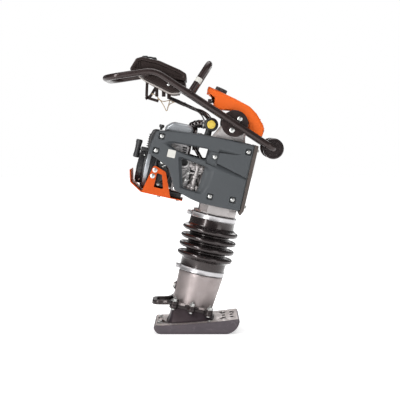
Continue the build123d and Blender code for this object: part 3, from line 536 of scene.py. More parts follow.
WORN_STEEL = (0.5, 0.48, 0.46)
WARM = (1, 0.8, 0.78)
FINISH = {
    "shoe_plastic": material("shoe_plastic", (0.082, 0.064, 0.076), 0.55, tint=(0.055, 0.044, 0.054),
                             grain=260,
                             bump=0.35, wear=(0.17, 0.15, 0.16), scratches=0.35),
    "shoe_steel": material("shoe_steel", (0.56, 0.51, 0.5), 0.5, 0.75, tint=(0.42, 0.36, 0.34), patch=14,
                           grain=300, bump=0.3, wear=(0.65, 0.63, 0.6), stretch=(1, 0.3, 1), scratches=0.6),
    "black_iron": material("black_iron", (0.012, 0.01, 0.011), 0.36, tint=(0.018, 0.015, 0.016), grain=180,
                           bump=0.4, wear=(0.07, 0.062, 0.06), coat=0.25, pits=0.3, shine=0.35, glint=WARM),
    "zinc": material("zinc", (0.6, 0.6, 0.585), 0.3, 0.95, tint=(0.47, 0.48, 0.47), patch=45, grain=500,
                     bump=0.1,
                     wear=(0.85, 0.85, 0.83)),
    "band_steel": material("band_steel", (0.5, 0.49, 0.5), 0.32, 0.85, tint=(0.44, 0.43, 0.44), patch=8,
                           patch_amount=0.3, grain=420, bump=0.05, rough_spread=0.03, hollow_shade=0.3,
                           stretch=(1, 1, 6)),
    "foot_paint": material("foot_paint", (0.03, 0.022, 0.029), 0.5, tint=(0.028, 0.022, 0.028), grain=260,
                           bump=0.35,
                           wear=(0.15, 0.13, 0.14), scratches=0.3, shine=0.35, glint=WARM),
    "leg_metal": material("leg_metal", (0.35, 0.305, 0.3), 0.45, 0.8, tint=(0.3, 0.26, 0.255), patch=9,
                          grain=520,
                          bump=0.28, wear=(0.62, 0.6, 0.58), pits=0.3),
    "rubber": material("rubber", (0.009, 0.0065, 0.0068), 0.27, tint=(0.015, 0.0115, 0.012), patch=12,
                       grain=90,
                       bump=0.02, rough_spread=0.03, coat=0.6, shine=0.3, hollow_shade=0.3, glint=WARM),
    "spring_steel": material("spring_steel", (0.36, 0.36, 0.37), 0.33, 0.95, grain=300, bump=0.12,
                             wear=WORN_STEEL, stretch=(1, 1, 4)),
    "cast_aluminium": material("cast_aluminium", (0.47, 0.44, 0.435), 0.5, 0.7, tint=(0.4, 0.375, 0.37),
                               patch=12,
                               grain=330, bump=0.55, wear=(0.8, 0.78, 0.77), pits=0.6),
    "guard_grey": material("guard_grey", (0.062, 0.068, 0.074), 0.52, tint=(0.056, 0.062, 0.067), patch=5,
                           grain=1100, bump=0.22, rough_spread=0.05, wear=(0.2, 0.215, 0.225),
                           wear_amount=0.6,
                           cells=True, hollow_shade=0.85, shine=0.3),
    "dark_plate": material("dark_plate", (0.07, 0.052, 0.044), 0.4, tint=(0.05, 0.038, 0.032), grain=700,
                           bump=0.2,
                           wear=(0.25, 0.21, 0.19), coat=0.1),
    "engine_aluminium": material("engine_aluminium", (0.5, 0.48, 0.49), 0.42, 0.75, tint=(0.44, 0.43, 0.42),
                                 patch=16, grain=350, bump=0.45, wear=(0.75, 0.75, 0.75), pits=0.5),
    "engine_black": material("engine_black", (0.018, 0.018, 0.02), 0.42, tint=(0.03, 0.03, 0.032), grain=900,
                             bump=0.25, wear=(0.1, 0.1, 0.105), cells=True),
    "shield_silver": material("shield_silver", (0.4, 0.42, 0.445), 0.36, 0.35, tint=(0.36, 0.38, 0.4),
                              patch=8,
                              grain=600, bump=0.12, wear=(0.78, 0.8, 0.82), coat=0.2),
    "cap_yellow": material("cap_yellow", (0.9, 0.68, 0.1), 0.42, tint=(0.86, 0.6, 0.07), patch=25, grain=900,
                           bump=0.15, wear=(0.98, 0.85, 0.3)),
    "orange_steel": material("orange_steel", (0.6, 0.083, 0.007), 0.52, tint=(0.55, 0.073, 0.005), patch=10,
                             grain=650, bump=0.2, wear=(0.8, 0.24, 0.08), shine=0.16),
    "orange_plastic": material("orange_plastic", (0.78, 0.127, 0.012), 0.5, tint=(0.73, 0.112, 0.009),
                               patch=6,
                               grain=1000, bump=0.16, wear=(0.95, 0.28, 0.1), cells=True, shine=0.2),
    "tube_black": material("tube_black", (0.015, 0.0095, 0.009), 0.34, tint=(0.019, 0.0125, 0.012), patch=10,
                           grain=600, bump=0.12, wear=(0.08, 0.07, 0.07), coat=0.3, shine=0.3, hollow_shade=0.3,
                           glint=WARM),
    "console_black": material("console_black", (0.013, 0.0085, 0.0075), 0.38, tint=(0.018, 0.012, 0.011),
                              patch=8,
                              grain=900, bump=0.1, wear=(0.06, 0.05, 0.048), cells=True, shine=0.28,
                              coat=0.12, glint=WARM),
    "rope": braid("rope", (0.66, 0.6, 0.5), (0.3, 0.26, 0.2), 260),
}


def finish(slot_name, coat=None):
    return slot_name, coat or FINISH[slot_name]


LABEL = material("label", (0.62, 0.61, 0.57), 0.4, tint=(0.55, 0.54, 0.5), patch=30, grain=700, bump=0.05)
CORD = braid("cord", (0.6, 0.46, 0.3), (0.36, 0.25, 0.14), 300)
# Light brown-grey colour for the bead under the console: a painted highlight along the lower shell's rounded
# bottom edge.
EDGE_HIGHLIGHT_PAINT = material("painted_edge_highlight", (0.36, 0.32, 0.3), 0.42, tint=(0.29, 0.26, 0.24), patch=20, grain=700,
                       bump=0.2)
PAINTED_BLACK = ("engine_block", "fan_shroud")
for node_name, thing in frame["nodes"].items():
    entry = next(s for s in frame["record"]["subparts"] if s["node"] == node_name)
    slot_name = "engine_black" if node_name in PAINTED_BLACK else entry["material_slot"]
    thing.data.materials.clear()
    thing.data.materials.append(FINISH[slot_name])


# Side guards, in the leg frame

GUARD_Y = 133
GUARD_WALL = 3.4
GUARD_OUTLINE = rounded(
    [(-281, 629), (-250, 636), (-195, 644), (-120, 652), (-20, 655), (89, 654.5), (88, 401), (1, 399),
     (-64, 399.5), (-104, 407), (-145, 420), (-167, 425), (-188, 462), (-206, 500), (-224, 512), (-296, 542),
     (-291, 579)],
    [12, 40, 60, 80, 80, 7, 10, 40, 40, 40, 30, 18, 60, 26, 26, 10, 40])
UPPER_MOUTH = [(-262, 592), (-226, 604), (-76, 607), (-72, 556), (-119, 559), (-161, 564), (-200, 572),
               (-236, 583)]
UPPER_WINDOW = [(-222, 589), (-206, 598), (-76, 603), (-79, 562), (-119, 563.5), (-160, 568), (-200, 576)]
LOWER_MOUTH = [(-183, 556), (-34, 533), (-44, 462), (-62, 431), (-152, 437)]
LOWER_WINDOW = [(-169, 550), (-75, 535), (-84, 438), (-139, 442)]
SUNK = [(-76, 601), (-31, 600), (-35, 559), (-33, 541), (-76, 549)]
PLATEAU_TOP = [(-31, 599), (21, 603.5), (50, 610)]
PLATEAU_FOOT = [(-35, 559), (88, 526.5)]
POCKETS = [(-257, 613), (-267, 556), (72.5, 625), (-46.5, 579.5), (-33, 431), (53, 437)]
POCKET_HALF = 12.5
POCKET_DEPTH = 7.6
EDGE_RADIUS = 5
UPPER_DIP = 13
LOWER_DIP = 14
SUNK_DEPTH = 5.6


def winding(points):
    """1 for a closed outline that runs anticlockwise, -1 for one that runs clockwise."""
    area = sum(ax * bz - bx * az for (ax, az), (bx, bz) in zip(points, points[1:] + points[:1]))
    return 1 if area > 0 else -1


def inset_points(points, amount):
    """The corners of a closed outline moved inwards by amount, a number or a function of the place."""
    sign = winding(points)
    out = []
    for i, (x, z) in enumerate(points):
        here = Vector((x, z))
        first = (here - Vector(points[i - 1])).normalized()
        second = (Vector(points[(i + 1) % len(points)]) - here).normalized()
        normals = Vector((-first.y, first.x)), Vector((-second.y, second.x))
        mitre = (normals[0] + normals[1]) / max(0.35, 1 + normals[0].dot(normals[1]))
        push = amount(x, z) if callable(amount) else amount
        out.append(tuple(here + mitre * push * sign))
    return out


def pocket_outline(p, h, half):
    square = [(p - half, h - half), (p + half, h - half), (p + half, h + half), (p - half, h + half)]
    return rounded(square, 5, 3)


def guard_depth(points):
    rim = np.clip(edge_distance(points, GUARD_OUTLINE), 0, EDGE_RADIUS)
    depth = EDGE_RADIUS - np.sqrt(EDGE_RADIUS ** 2 - (EDGE_RADIUS - rim) ** 2)
    across = points[:, 0]
    for mouth, window, deepest in ((UPPER_MOUTH, UPPER_WINDOW, UPPER_DIP),
                                   (LOWER_MOUTH, LOWER_WINDOW, LOWER_DIP)):
        into = np.clip(edge_distance(points, rounded(mouth, 6)), 0, None)
        left = np.clip(-edge_distance(points, rounded(window, 5)), 0.01, None)
        depth += deepest * ease(1.25 * into / (into + left)) * (into > 0)
    depth += SUNK_DEPTH * ease(edge_distance(points, SUNK) / 2.5) * (across > -74)
    along, edge = zip(*PLATEAU_TOP)
    above = points[:, 1] - np.interp(across, along, edge)
    share = np.clip((50 - across) / 81, 0, 1)
    groove = ease(1 - above / (8 + 14 * share)) * ease(above / 1.2)
    depth += 9 * share ** 0.7 * groove * ease((across + 40) / 10)
    along, edge = zip(*PLATEAU_FOOT)
    below = np.interp(across, along, edge) - points[:, 1]
    share = np.clip((88 - across) / 123, 0, 1)
    groove = ease(1 - below / (8 + 16 * share)) * ease(below / 1.2)
    depth += (4.5 + 5.5 * share) * groove * ease((across + 36) / 3)
    for p, h in POCKETS:
        inset = edge_distance(points, pocket_outline(p, h, POCKET_HALF))
        bottom = POCKET_DEPTH * ease((inset + 0.2) / 2.6) * (inset > -0.2)
        depth = np.maximum(depth, bottom)
    return np.minimum(depth, LOWER_DIP)


def thin_strip(line, width):
    """A closed band along a crease."""
    return line + [(p, h + width) for p, h in reversed(line)]


def guard_shape():
    guides = [pocket_outline(p, h, half) for p, h in POCKETS for half in (POCKET_HALF, POCKET_HALF - 3)]
    guides += [rounded(UPPER_MOUTH, 6), rounded(LOWER_MOUTH, 6), SUNK, inset_points(SUNK, 2.5)]
    guides += [thin_strip(PLATEAU_TOP, 1.2), thin_strip(PLATEAU_FOOT, -1.2)]
    windows = [rounded(UPPER_WINDOW, 5), rounded(LOWER_WINDOW, 5)]
    sheet = relief(GUARD_OUTLINE, windows, guard_depth, GUARD_Y, GUARD_WALL, guides=guides)
    outer = resampled(GUARD_OUTLINE, 4)
    count = len(outer)
    inward = -GUARD_WALL * winding(GUARD_OUTLINE)
    inner = []
    for i, (p, h) in enumerate(outer):
        ahead, behind = outer[(i + 1) % count], outer[i - 1]
        along = Vector((ahead[0] - behind[0], ahead[1] - behind[1])).normalized()
        inner.append((p + along.y * inward, h - along.x * inward))
    rim = [(outer, -GUARD_Y + 4.8), (outer, -104), (inner, -104), (inner, -GUARD_Y + 6)]
    skirt = loft([[(p, y, h) for p, h in loop] for loop, y in rim], closed=True)
    return join(sheet, skirt)


GUARD = guard_shape()
piece("guard_right_shell", GUARD, LEG, "housing", finish("guard_grey"), ["guard_right"], crease=50)
piece("guard_left_shell", mirrored(GUARD), LEG, "housing", finish("guard_grey"), ["guard_left"], crease=50)


def guard_fasteners():
    bolts = []
    for p, h in POCKETS:
        depth = guard_depth(np.array([(p, h)]))[0]
        bolts.append(moved(flange_bolt(4.9, 6), at(p, -GUARD_Y + depth, h) @ TO_RIGHT @ turn(20 * p, "Z")))
    return both_sides(join(*bolts))


piece("guard_flange_bolts", guard_fasteners(), LEG, "housing", finish("zinc"), ["guard_bolts"])


def plate_label(p, h, width, height, y=GUARD_Y + 0.3):
    outline = [(p - width, h - height), (p + width, h - height), (p + width, h + height),
               (p - width, h + height)]
    return panel(rounded(outline, 2, 3), -y - 0.5, -y + 1, bevel=0.3)


piece("guard_blank_plate", plate_label(-208, 557, 15, 14.5), LEG, "housing", ("guard_grey", LABEL))


# Bellows and clamps, in the leg frame

RINGS = [195.6, 229.1, 262.6, 296.1]
RING_RADIUS = 108
VALLEY_RADIUS = 77
CUFF_RADIUS = 86


def bellows_profile():
    """(radius, height) from the lower cuff up: each ring is a fat round bulge between deep valleys."""
    outside = [(CUFF_RADIUS - 3, 128), (CUFF_RADIUS, 129.5), (CUFF_RADIUS + 0.4, 152),
               (CUFF_RADIUS + 1.5, 176)]
    outside += [(CUFF_RADIUS + 4, 181)]
    for number, middle in enumerate(RINGS):
        for k in range(-6, 7):
            angle = k * 15
            outside.append((RING_RADIUS - 9.5 + 9.5 * cos(radians(angle)),
                            middle + 9.5 * sin(radians(angle))))
        if number < 3:
            low, high = middle + 9.5, RINGS[number + 1] - 9.5
            outside += [(VALLEY_RADIUS + 8, low + 1.5), (VALLEY_RADIUS + 1.5, low + 3.6),
                        (VALLEY_RADIUS, (low + high) / 2)]
            outside += [(VALLEY_RADIUS + 1.5, high - 3.6), (VALLEY_RADIUS + 8, high - 1.5)]
    outside += [(CUFF_RADIUS + 5, 311), (CUFF_RADIUS + 1.5, 316), (CUFF_RADIUS + 0.4, 340),
                (CUFF_RADIUS, 361.5)]
    outside += [(CUFF_RADIUS - 3, 363)]
    inside = [(CUFF_RADIUS - 3.6, 362), (CUFF_RADIUS - 3.6, 310), (VALLEY_RADIUS - 2, 290)]
    inside += [(VALLEY_RADIUS - 2, 200), (CUFF_RADIUS - 3.6, 180), (CUFF_RADIUS - 3.6, 128.5)]
    return outside + inside + [outside[0]]


bellows = piece("bellows_rubber", lathe(bellows_profile(), 128), LEG, None, finish("rubber"), ["bellows"],
                crease=60)
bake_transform(bellows)


def band_clamp(height):
    """A bright band with rolled edges, drawn together by a screw at the back."""
    low, high = height - 9, height + 9
    profile = [(86.4, low), (88.6, low), (89.4, low + 1.2), (88.2, low + 3), (88.2, high - 3),
               (89.4, high - 1.2)]
    profile += [(88.6, high), (86.4, high), (86.4, low)]
    band = lathe(profile, 120)
    ears = []
    for y in (-9, 9):
        ears.append(slab((-103, y - 1.6, low + 1), (-86.5, y + 1.6, high - 1), 1))
        ears.append(moved(lathe([(0, -6), (4.5, -6), (5, -5), (5, 5), (4.5, 6), (0, 6)], 20),
                          at(-98, y, height)))
    screw = moved(join(hex_head(6, 4.5), lathe([(0, -32), (2.6, -32), (2.6, 0.2), (0, 0.2)], 16)),
                  at(-98, -16, height) @ TO_RIGHT)
    nut = moved(hex_head(6, 5), at(-98, 15, height) @ TO_LEFT)
    return join(band, *ears, screw, nut)


piece("lower_band_clamp", band_clamp(140), LEG, "ram", finish("zinc", FINISH["band_steel"]), ["lower_clamp"])
piece("upper_band_clamp", band_clamp(350.6), LEG, "housing", finish("zinc", FINISH["band_steel"]),
      ["upper_clamp"])


# Handle, in the row frame

HANDLE_POINTS = [(-339, 960), (-156.6, 988.3), (288, 697)]
TUBE_RADIUS = 12
TUBE_Y = 160


def handle_loop():
    (rear_x, rear_z), (bend_x, bend_z), (front_x, front_z) = HANDLE_POINTS
    near = path([(rear_x, 0, rear_z), (rear_x, -TUBE_Y, rear_z), (bend_x, -TUBE_Y, bend_z),
                 (front_x, -TUBE_Y, front_z), (front_x, 0, front_z)], [55, 100, 30], 14)
    far = [Vector((v.x, -v.y, v.z)) for v in reversed(near[1:-1])]
    return near + far


def lifting_bail():
    feet = (-24.4, 901.7), (47.5, 1014)
    near = path([(feet[0][0], -TUBE_Y, feet[0][1]), (feet[1][0], -118, feet[1][1]),
                 (feet[1][0], 0, feet[1][1])], 34, 14)
    return near + [Vector((v.x, -v.y, v.z)) for v in reversed(near[:-1])]


def weld(middle, direction, radius):
    """A weld bead round a tube's foot."""
    frame_up = Vector(direction).normalized()
    side = frame_up.orthogonal().normalized()
    other = frame_up.cross(side)
    loop = [Vector(middle) + side * radius * cos(a) + other * radius * sin(a)
            for a in np.linspace(0, 2 * pi, 37)[:-1]]
    return sweep(loop, lambda i: ring(2.6 + 0.5 * (i % 2), 8), closed=True)


tubes = join(tube(handle_loop(), TUBE_RADIUS, 32, closed=True), tube(lifting_bail(), 12.4, 32))
bail_foot = Vector((-20, -157.5, 908.5))
bead = weld(bail_foot, (71.9, 42, 112.3), 13.1)
piece("handle_tubes", join(tubes, both_sides(bead)), ROW, "handle", finish("tube_black"), ["handle_frame"])


def soften(node_name, width=1.0, segments=2):
    """Rounds a CAD node's sharp edges with modifiers."""
    thing = frame["nodes"][node_name]
    weld_close = thing.modifiers.new("weld", "WELD")
    weld_close.merge_threshold = 0.00002
    edge = thing.modifiers.new("bevel", "BEVEL")
    edge.width = width * MM
    edge.segments = segments
    edge.limit_method = "ANGLE"
    edge.angle_limit = radians(35)
    edge.harden_normals = True


def barrel(points, radius, half, round_off, inset, steps=5, arc=5):
    """An outline with round corners carried across the machine, its two ends rounded off by inset."""
    radii = radius if isinstance(radius, (list, tuple)) else [radius] * len(points)
    loops = []
    for side in (-1, 1):
        order = range(steps, -1, -1) if side < 0 else range(steps + 1)
        for k in order:
            angle = pi / 2 * k / steps
            share = 1 - cos(angle)
            y = side * (half - round_off + round_off * sin(angle))
            if callable(inset):
                corners = inset_points(points, lambda x, z: inset(x, z) * share)
                softer = [max(r - 4 * share, 0.5) for r in radii]
            else:
                corners = inset_points(points, inset * share)
                softer = [max(r - inset * share, 0.5) for r in radii]
            loops.append([(x, y, z) for x, z in rounded(corners, softer, arc)])
    return loft(loops)


def rounded_box(width, depth, radius, count=72):
    """A rounded rectangle as equally many points for every size."""
    loop = []
    for k in range(count):
        angle = 2 * pi * (k + 0.5) / count
        x = (width / 2 - radius) * np.sign(cos(angle)) * min(1, abs(cos(angle)) * 1.9)
        y = (depth / 2 - radius) * np.sign(sin(angle)) * min(1, abs(sin(angle)) * 1.9)
        loop.append((float(x + radius * cos(angle)), float(y + radius * sin(angle))))
    return loop


# Shoe and foot

STUDS = [(p, y) for p in (-77, -8, 60) for y in (-95, 95)]
FLANGE_THICKNESS = 14
LOOP_LIFT = 12
for softened, width in (("shoe_body", 2.2), ("shoe_top_plate", 0.9), ("leg_tube", 1.6), ("fan_shroud", 1.2)):
    soften(softened, width)


def shoe_top(x):
    """Height of the shoe's top face."""
    return 41 + 0.0836 * (x - 13) + 0.000181 * (x - 13) ** 2


def foot_skirt():
    """The pedestal under the flange: a lip on the shoe, then a skirt that sweeps up into the flange."""
    low = [(x - 24, y) for x, y in rounded_box(182, 198, 42)]
    high = [LEG_IN_ROW @ Vector((x - 8, y, -FLANGE_THICKNESS / 2)) for x, y in rounded_box(160, 170, 32)]
    loops = [[(x, y, shoe_top(x) - 2) for x, y in low], [(x, y, shoe_top(x) + 3.4) for x, y in low]]
    inner = [(x * 0.975 - 0.6, y * 0.975) for x, y in low]
    loops.append([(x, y, shoe_top(x) + 5) for x, y in inner])
    for k in range(1, 13):
        t = k / 12
        s = 1 - (1 - t) ** 2.1
        loops.append([(x + (v.x - x) * s, y + (v.y - y) * s, (shoe_top(x) + 5) * (1 - t) + v.z * t)
                      for (x, y), v in zip(inner, high)])
    return loft(loops)


def foot_flange():
    """The tilted plate under the leg, with a round ear at each stud."""
    plate = [(x - 8, y) for x, y in rounded_box(170, 176, 34)]
    loops = []
    for inset, h in ((2, -14), (0, -12), (0, -2), (2, 0)):
        loops.append([(x * (1 - inset / 85), y * (1 - inset / 88), h) for x, y in plate])
    ears = []
    for p, y in STUDS:
        ears.append(moved(lathe([(0, -15), (13, -15), (15.5, -12.5), (15.5, -2), (13.5, 0), (0, 0)], 32),
                          at(p, y, 0)))
        web = slab((p - 9, min(y, 0.8 * y), -13), (p + 9, max(y, 0.8 * y), -2), 2)
        ears.append(web)
    return join(loft(loops), *ears)


LEG_IN_ROW = ROW.inverted() @ LEG
piece("cast_foot_pedestal", foot_skirt(), ROW, "ram", finish("black_iron", FINISH["foot_paint"]), crease=45)
piece("cast_foot_flange", foot_flange(), LEG, "ram", finish("black_iron"), ["foot_casting"], crease=45)


def stud_set():
    nuts = []
    for p, y in STUDS:
        lift = LOOP_LIFT + 0.2 if p < -70 else 8.2
        nuts.append(moved(stud_nut(17), at(p, y, lift) @ turn(15 * p + y, "Z")))
        nuts.append(moved(hex_head(8.5, 6), at(p, y, -FLANGE_THICKNESS - 1) @ turn(180, "X")))
    return join(*nuts)


piece("flange_stud_nuts", stud_set(), LEG, "ram", finish("zinc"), ["flange_nuts"])


def leg_base():
    """The leg's machined base flange, with a round ear at each front stud."""
    plate = [(x - 8, y) for x, y in rounded_box(152, 172, 34)]
    loops = [[(x * k, y * k, h) for x, y in plate] for k, h in ((1, 0.2), (1, 6.6), (0.985, 8))]
    ears = [moved(lathe([(0, 0.2), (13.5, 0.2), (13.5, 7), (12.5, 8.1), (0, 8.1)], 32), at(p, y, 0))
            for p, y in STUDS if p > -70]
    return join(loft(loops), *ears)


piece("leg_base_flange", leg_base(), LEG, "ram", finish("black_iron"))


def toe_loop_shape():
    """A forged flat loop behind the foot, clamped by the two rear studs."""
    half = [(-82, -95, 115), (-104, -62, 110), (-126, -56, 109), (-162, -52, 109), (-162, 0, 109)]
    near = path(half, 20, 8)
    whole = near + [Vector((v.x, -v.y, v.z)) for v in reversed(near[:-1])]
    section = rounded([(-8.8, -9), (8.8, -9), (8.8, 9), (-8.8, 9)], 5, 4)
    bar = sweep(whole, section)
    lug = moved(lathe([(0, 0.2), (14.5, 0.2), (15.5, 1.4), (15.5, 10.6), (14.5, 12), (0, 12)], 36),
                LEG_IN_ROW @ at(-77, -95, 0))
    return join(bar, both_sides(lug))


piece("toe_loop_forging", toe_loop_shape(), ROW, "ram", finish("black_iron"), ["toe_loop"], crease=45)


def sight_glass():
    """A hexagon plug with a rim round its little window, in a cast boss."""
    boss = moved(lathe([(0, 78), (19, 78), (17, 87), (16, 88), (0, 88)], 36), at(0, 0, 62) @ turn(-90, "Y"))
    plug = moved(hex_head(13, 6), at(-87.5, 0, 62) @ turn(-90, "Y"))
    rim = moved(lathe([(4, 5.5), (9.5, 5.5), (9, 8), (6, 8.6), (5, 7), (4, 7), (4, 5.5)], 32),
                at(-87.5, 0, 62) @ turn(-90, "Y"))
    return boss, join(plug, rim)


boss, plug = sight_glass()
piece("sight_glass_boss", boss, LEG, "ram", finish("black_iron"))
piece("sight_glass_plug", plug, LEG, "ram", finish("zinc"), ["oil_sight_glass"])


def shoe_fasteners():
    """Round-headed bolts with a round socket, in two rows across the toe."""
    heads = []
    for x, y in [(x, y) for x in (104, 134) for y in (-60, 0, 60)]:
        dome = [(0, 0.4), (2.8, 0.4), (3, 2.6), (4.4, 2.8), (6.2, 1.8), (6.6, 0.6), (6.6, -1), (0, -1)]
        heads.append(moved(lathe(dome, 28), at(x, y, shoe_top(x) + 0.4) @ turn(-5, "Y")))
    return join(*heads)


def shoe_rear_bolts():
    heads = []
    for y in (-70, 70):
        heads.append(moved(flange_bolt(7, 10), at(-140, y, shoe_top(-140) + 0.8)))
    heads.append(moved(flange_bolt(5, 6), at(48, -126, shoe_top(48) + 0.6)))
    heads.append(moved(flange_bolt(5, 6), at(48, 126, shoe_top(48) + 0.6)))
    return join(*heads)


piece("shoe_socket_bolts", shoe_fasteners(), ROW, "ram", finish("black_iron"), ["shoe_bolts"])
piece("shoe_rear_bolts", shoe_rear_bolts(), ROW, "ram", finish("zinc"))


# Rollers, mounts

def roller_shape():
    """A rubber tyre with a groove on its face, on a moulded hub."""
    profile = [(12.2, -13), (20, -13), (21, -11.5), (30, -11.5), (31.5, -13), (36, -13), (39, -10), (39.4, 0),
               (39, 10)]
    profile += [(36, 13), (31.5, 13), (30, 11.5), (21, 11.5), (20, 13), (12.2, 13), (12.2, -13)]
    spokes = []
    for k in range(6):
        spokes.append(moved(slab((20, -1.6, -12.6), (31, 1.6, 12.6), 0.8), turn(60 * k, "Z")))
    return join(lathe(profile, 72), *spokes)


for side, sign in (("right", -1), ("left", 1)):
    middle = at(HANDLE_POINTS[2][0], sign * 112, HANDLE_POINTS[2][1]) @ TO_RIGHT
    piece("tyre_" + side, moved(roller_shape(), middle), ROW, "roller_" + side, finish("rubber"),
          ["roller_" + side])
PIVOT = (146.5, 788)
MOUNT_BOLTS = [(161, 808), (132, 766)]


def mount_plate():
    """A round forged plate welded under the tube, with two bolt bosses."""
    x, z = PIVOT
    outline = [(x - 4 + u, z + 3 + v) for u, v in ring(50, 72)]
    plate = panel(outline, -148.5, -136.5, bevel=2)
    bosses = [moved(lathe([(0, 0), (13, 0), (12, 2), (0, 2)], 32), at(bx, -148.4, bz) @ TO_RIGHT) for bx,
              bz in MOUNT_BOLTS]
    return join(plate, *bosses)


piece("mount_plate_pair", both_sides(mount_plate()), ROW, "handle", finish("tube_black"), ["mount_plates"],
      crease=45)
bolt_heads = [moved(flange_bolt(6.2, 12), at(x, -150.2, z) @ TO_RIGHT @ turn(x, "Z")) for x, z in MOUNT_BOLTS]
piece("mount_bolt_set", both_sides(join(*bolt_heads)), ROW, "handle", finish("zinc"), ["mount_bolts"])
rubber_profile = [(0, 98.1), (38, 98.1), (39.6, 100), (36, 108), (35, 117), (36, 126), (39.6, 134),
                  (38, 135.9), (0, 135.9)]
rubber_mount = moved(lathe(rubber_profile, 64), at(PIVOT[0], 0, PIVOT[1]) @ TO_RIGHT)
piece("rubber_mount_pair", both_sides(rubber_mount), ROW, "handle", finish("rubber"), ["shock_mounts"])


# Console

CONSOLE_HALF = 136
CONSOLE_SIDE = [(-253, 988), (-225, 1034), (-203, 1040), (-137, 1025), (-60, 991), (-37, 976), (-39, 946),
                (-226, 984)]
CONSOLE_CORNERS = [9, 14, 12, 30, 20, 11, 8, 8]
BASE_SIDE = [(-228, 984), (-40, 946), (-42, 926), (-64, 907), (-96, 905), (-137, 926), (-192, 954)]
BASE_CORNERS = [6, 6, 12, 14, 18, 30, 14]


def console_shell():
    """The upper shell: a rounded box whose two side faces are sunk behind a raised rim."""
    body = barrel(CONSOLE_SIDE, CONSOLE_CORNERS, CONSOLE_HALF - 5, 8, 4, 5, 6)
    outer = rounded(inset_points(CONSOLE_SIDE, 0.6), CONSOLE_CORNERS, 6)
    window = rounded(inset_points(CONSOLE_SIDE, 15), 7, 4)
    rim = panel(outer, -CONSOLE_HALF, -CONSOLE_HALF + 11, [window], 4.5, 4)
    ribs = []
    for k in range(4):
        x = -233 + 7 * k
        ribs.append(slab((x, -CONSOLE_HALF + 1.5, 998 + 1.4 * k), (x + 3, -CONSOLE_HALF + 7, 1014 + 2.6 * k),
                         0.8))
    return join(body, both_sides(join(rim, *ribs)))


def console_lower():
    body = barrel(BASE_SIDE, BASE_CORNERS, CONSOLE_HALF - 2, 9, 6, 6, 6)
    pads = both_sides(join(slab((-88, -152, 921), (-52, -126, 941), 4),
                           slab((-206, -152, 966), (-176, -126, 984), 4)))
    posts = [slab((-158, -20, 894), (-146, -8, 934), 2), slab((-132, -42, 893), (-118, -28, 918), 2)]
    posts += [slab((-112, -40, 884), (-98, -22, 908), 3)]
    return join(body, pads, *posts)


def cord_bracket():
    """A bent flat bar under the console, braced by a second one."""
    flat = rounded([(-5.4, -4), (5.4, -4), (5.4, 4), (-5.4, 4)], 2.4, 3)
    hook = path([(-189, 0, 958), (-192, 0, 891), (-146, 0, 877)], [12], 6)
    brace = path([(-196, 0, 886), (-176, 0, 897), (-151, 0, 938)], [8], 5)
    return join(sweep(hook, flat, up=(1, 0, 0)), sweep(brace, flat, up=(1, 0, 0)))


def highlight_bead_line():
    """A light bead along the lower shell's bottom edge: a painted highlight that stands for the reflection on its
    rounded edge.
    """
    edge = [(-214, 967), (-190, 950.5), (-137, 922.5), (-98, 903.5), (-66, 905)]
    near = [(x, -CONSOLE_HALF + 7, z) for x, z in edge]
    return both_sides(tube(smooth_path(near, 6), 3, 12))


piece("console_upper_shell", console_shell(), ROW, "handle", finish("console_black"), ["console_top"],
      crease=50)
piece("console_lower_shell", join(console_lower(), cord_bracket()), ROW, "handle", finish("console_black"),
      ["console_base"], crease=50)
# Painted highlight: a light bead along both bottom edges of the console.
piece("console_edge_highlight", highlight_bead_line(), ROW, "handle", ("console_black", EDGE_HIGHLIGHT_PAINT))
console_screws = [moved(flange_bolt(3.2), at(x, -CONSOLE_HALF + 1.2, z) @ TO_RIGHT) for x,
                  z in ((-104, 936), (-196, 972))]
piece("console_screws", both_sides(join(*console_screws)), ROW, "handle", finish("zinc"))


def throttle_shape():
    """A lever on a round hub, its thumb pad ribbed."""
    hub = moved(lathe([(0, -10), (7, -10), (8.5, -8.5), (8.5, 8.5), (7, 10), (0, 10)], 36),
                at(-160, 0, 1036) @ TO_RIGHT)
    arm = panel(rounded([(-156, 1034), (-157, 1043), (-176, 1047), (-200, 1047), (-200, 1041), (-176, 1041)],
                        2, 3), -6, 6, bevel=1.5)
    pad = barrel([(-208, 1040.5), (-208, 1049), (-186, 1050), (-186, 1041)], 3.2, 19, 4, 2.5)
    ribs = [slab((-205 + 4.5 * k, -15, 1048.6), (-203 + 4.5 * k, 15, 1050), 0.6) for k in range(4)]
    return join(hub, arm, pad, *ribs)


piece("throttle_thumb_lever", throttle_shape(), ROW, "throttle_lever", finish("engine_black"),
      ["throttle_lever"])
button = lathe([(0, -4), (8, -4), (8, 8), (6.6, 9.8), (3, 10.4), (0, 10.4)], 40)
collar = lathe([(8.2, 2), (12, 2), (12, 4.4), (10.4, 6), (8.2, 6), (8.2, 2)], 40)
switch_place = at(-238, 60, 1011.5) @ turn(-57, "Y")
piece("stop_button", moved(button, switch_place), ROW, "stop_switch", finish("orange_plastic"),
      ["stop_switch"])
piece("stop_button_collar", moved(collar, switch_place), ROW, "handle", finish("engine_black"))


# Cables

CABLE_RUN = [(-104, -30, 889), (-63, -30, 872), (-25, -30, 854), (13, -30, 837), (34, -31, 822),
             (50, -33, 803)]


def cable_shape():
    """The sleeve with its fine corrugations, and two thin cables that leave it near the engine."""
    run = smooth_path(CABLE_RUN, 22)
    sleeve = sweep(run, lambda i: ring(6.6 + 0.5 * (i % 2), 20))
    thin = [(-104, -41, 886), (-60, -42, 864), (-20, -42, 851), (16, -42, 843), (44, -44, 826),
            (62, -46, 800)]
    spare = [(-6, -34, 846), (18, -44, 824), (28, -50, 806), (36, -52, 792)]
    ties = []
    for place in (30, 66):
        ties.append(tube([run[place], run[place] + (run[place + 3] - run[place])], 8.4, 20))
    return join(sleeve, tube(smooth_path(thin, 8), 2.6, 12), tube(smooth_path(spare, 8), 2.4, 12), *ties)


cable = piece("cable_sleeve", cable_shape(), ROW, None, finish("rubber"), ["cable_conduit"])
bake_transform(cable)


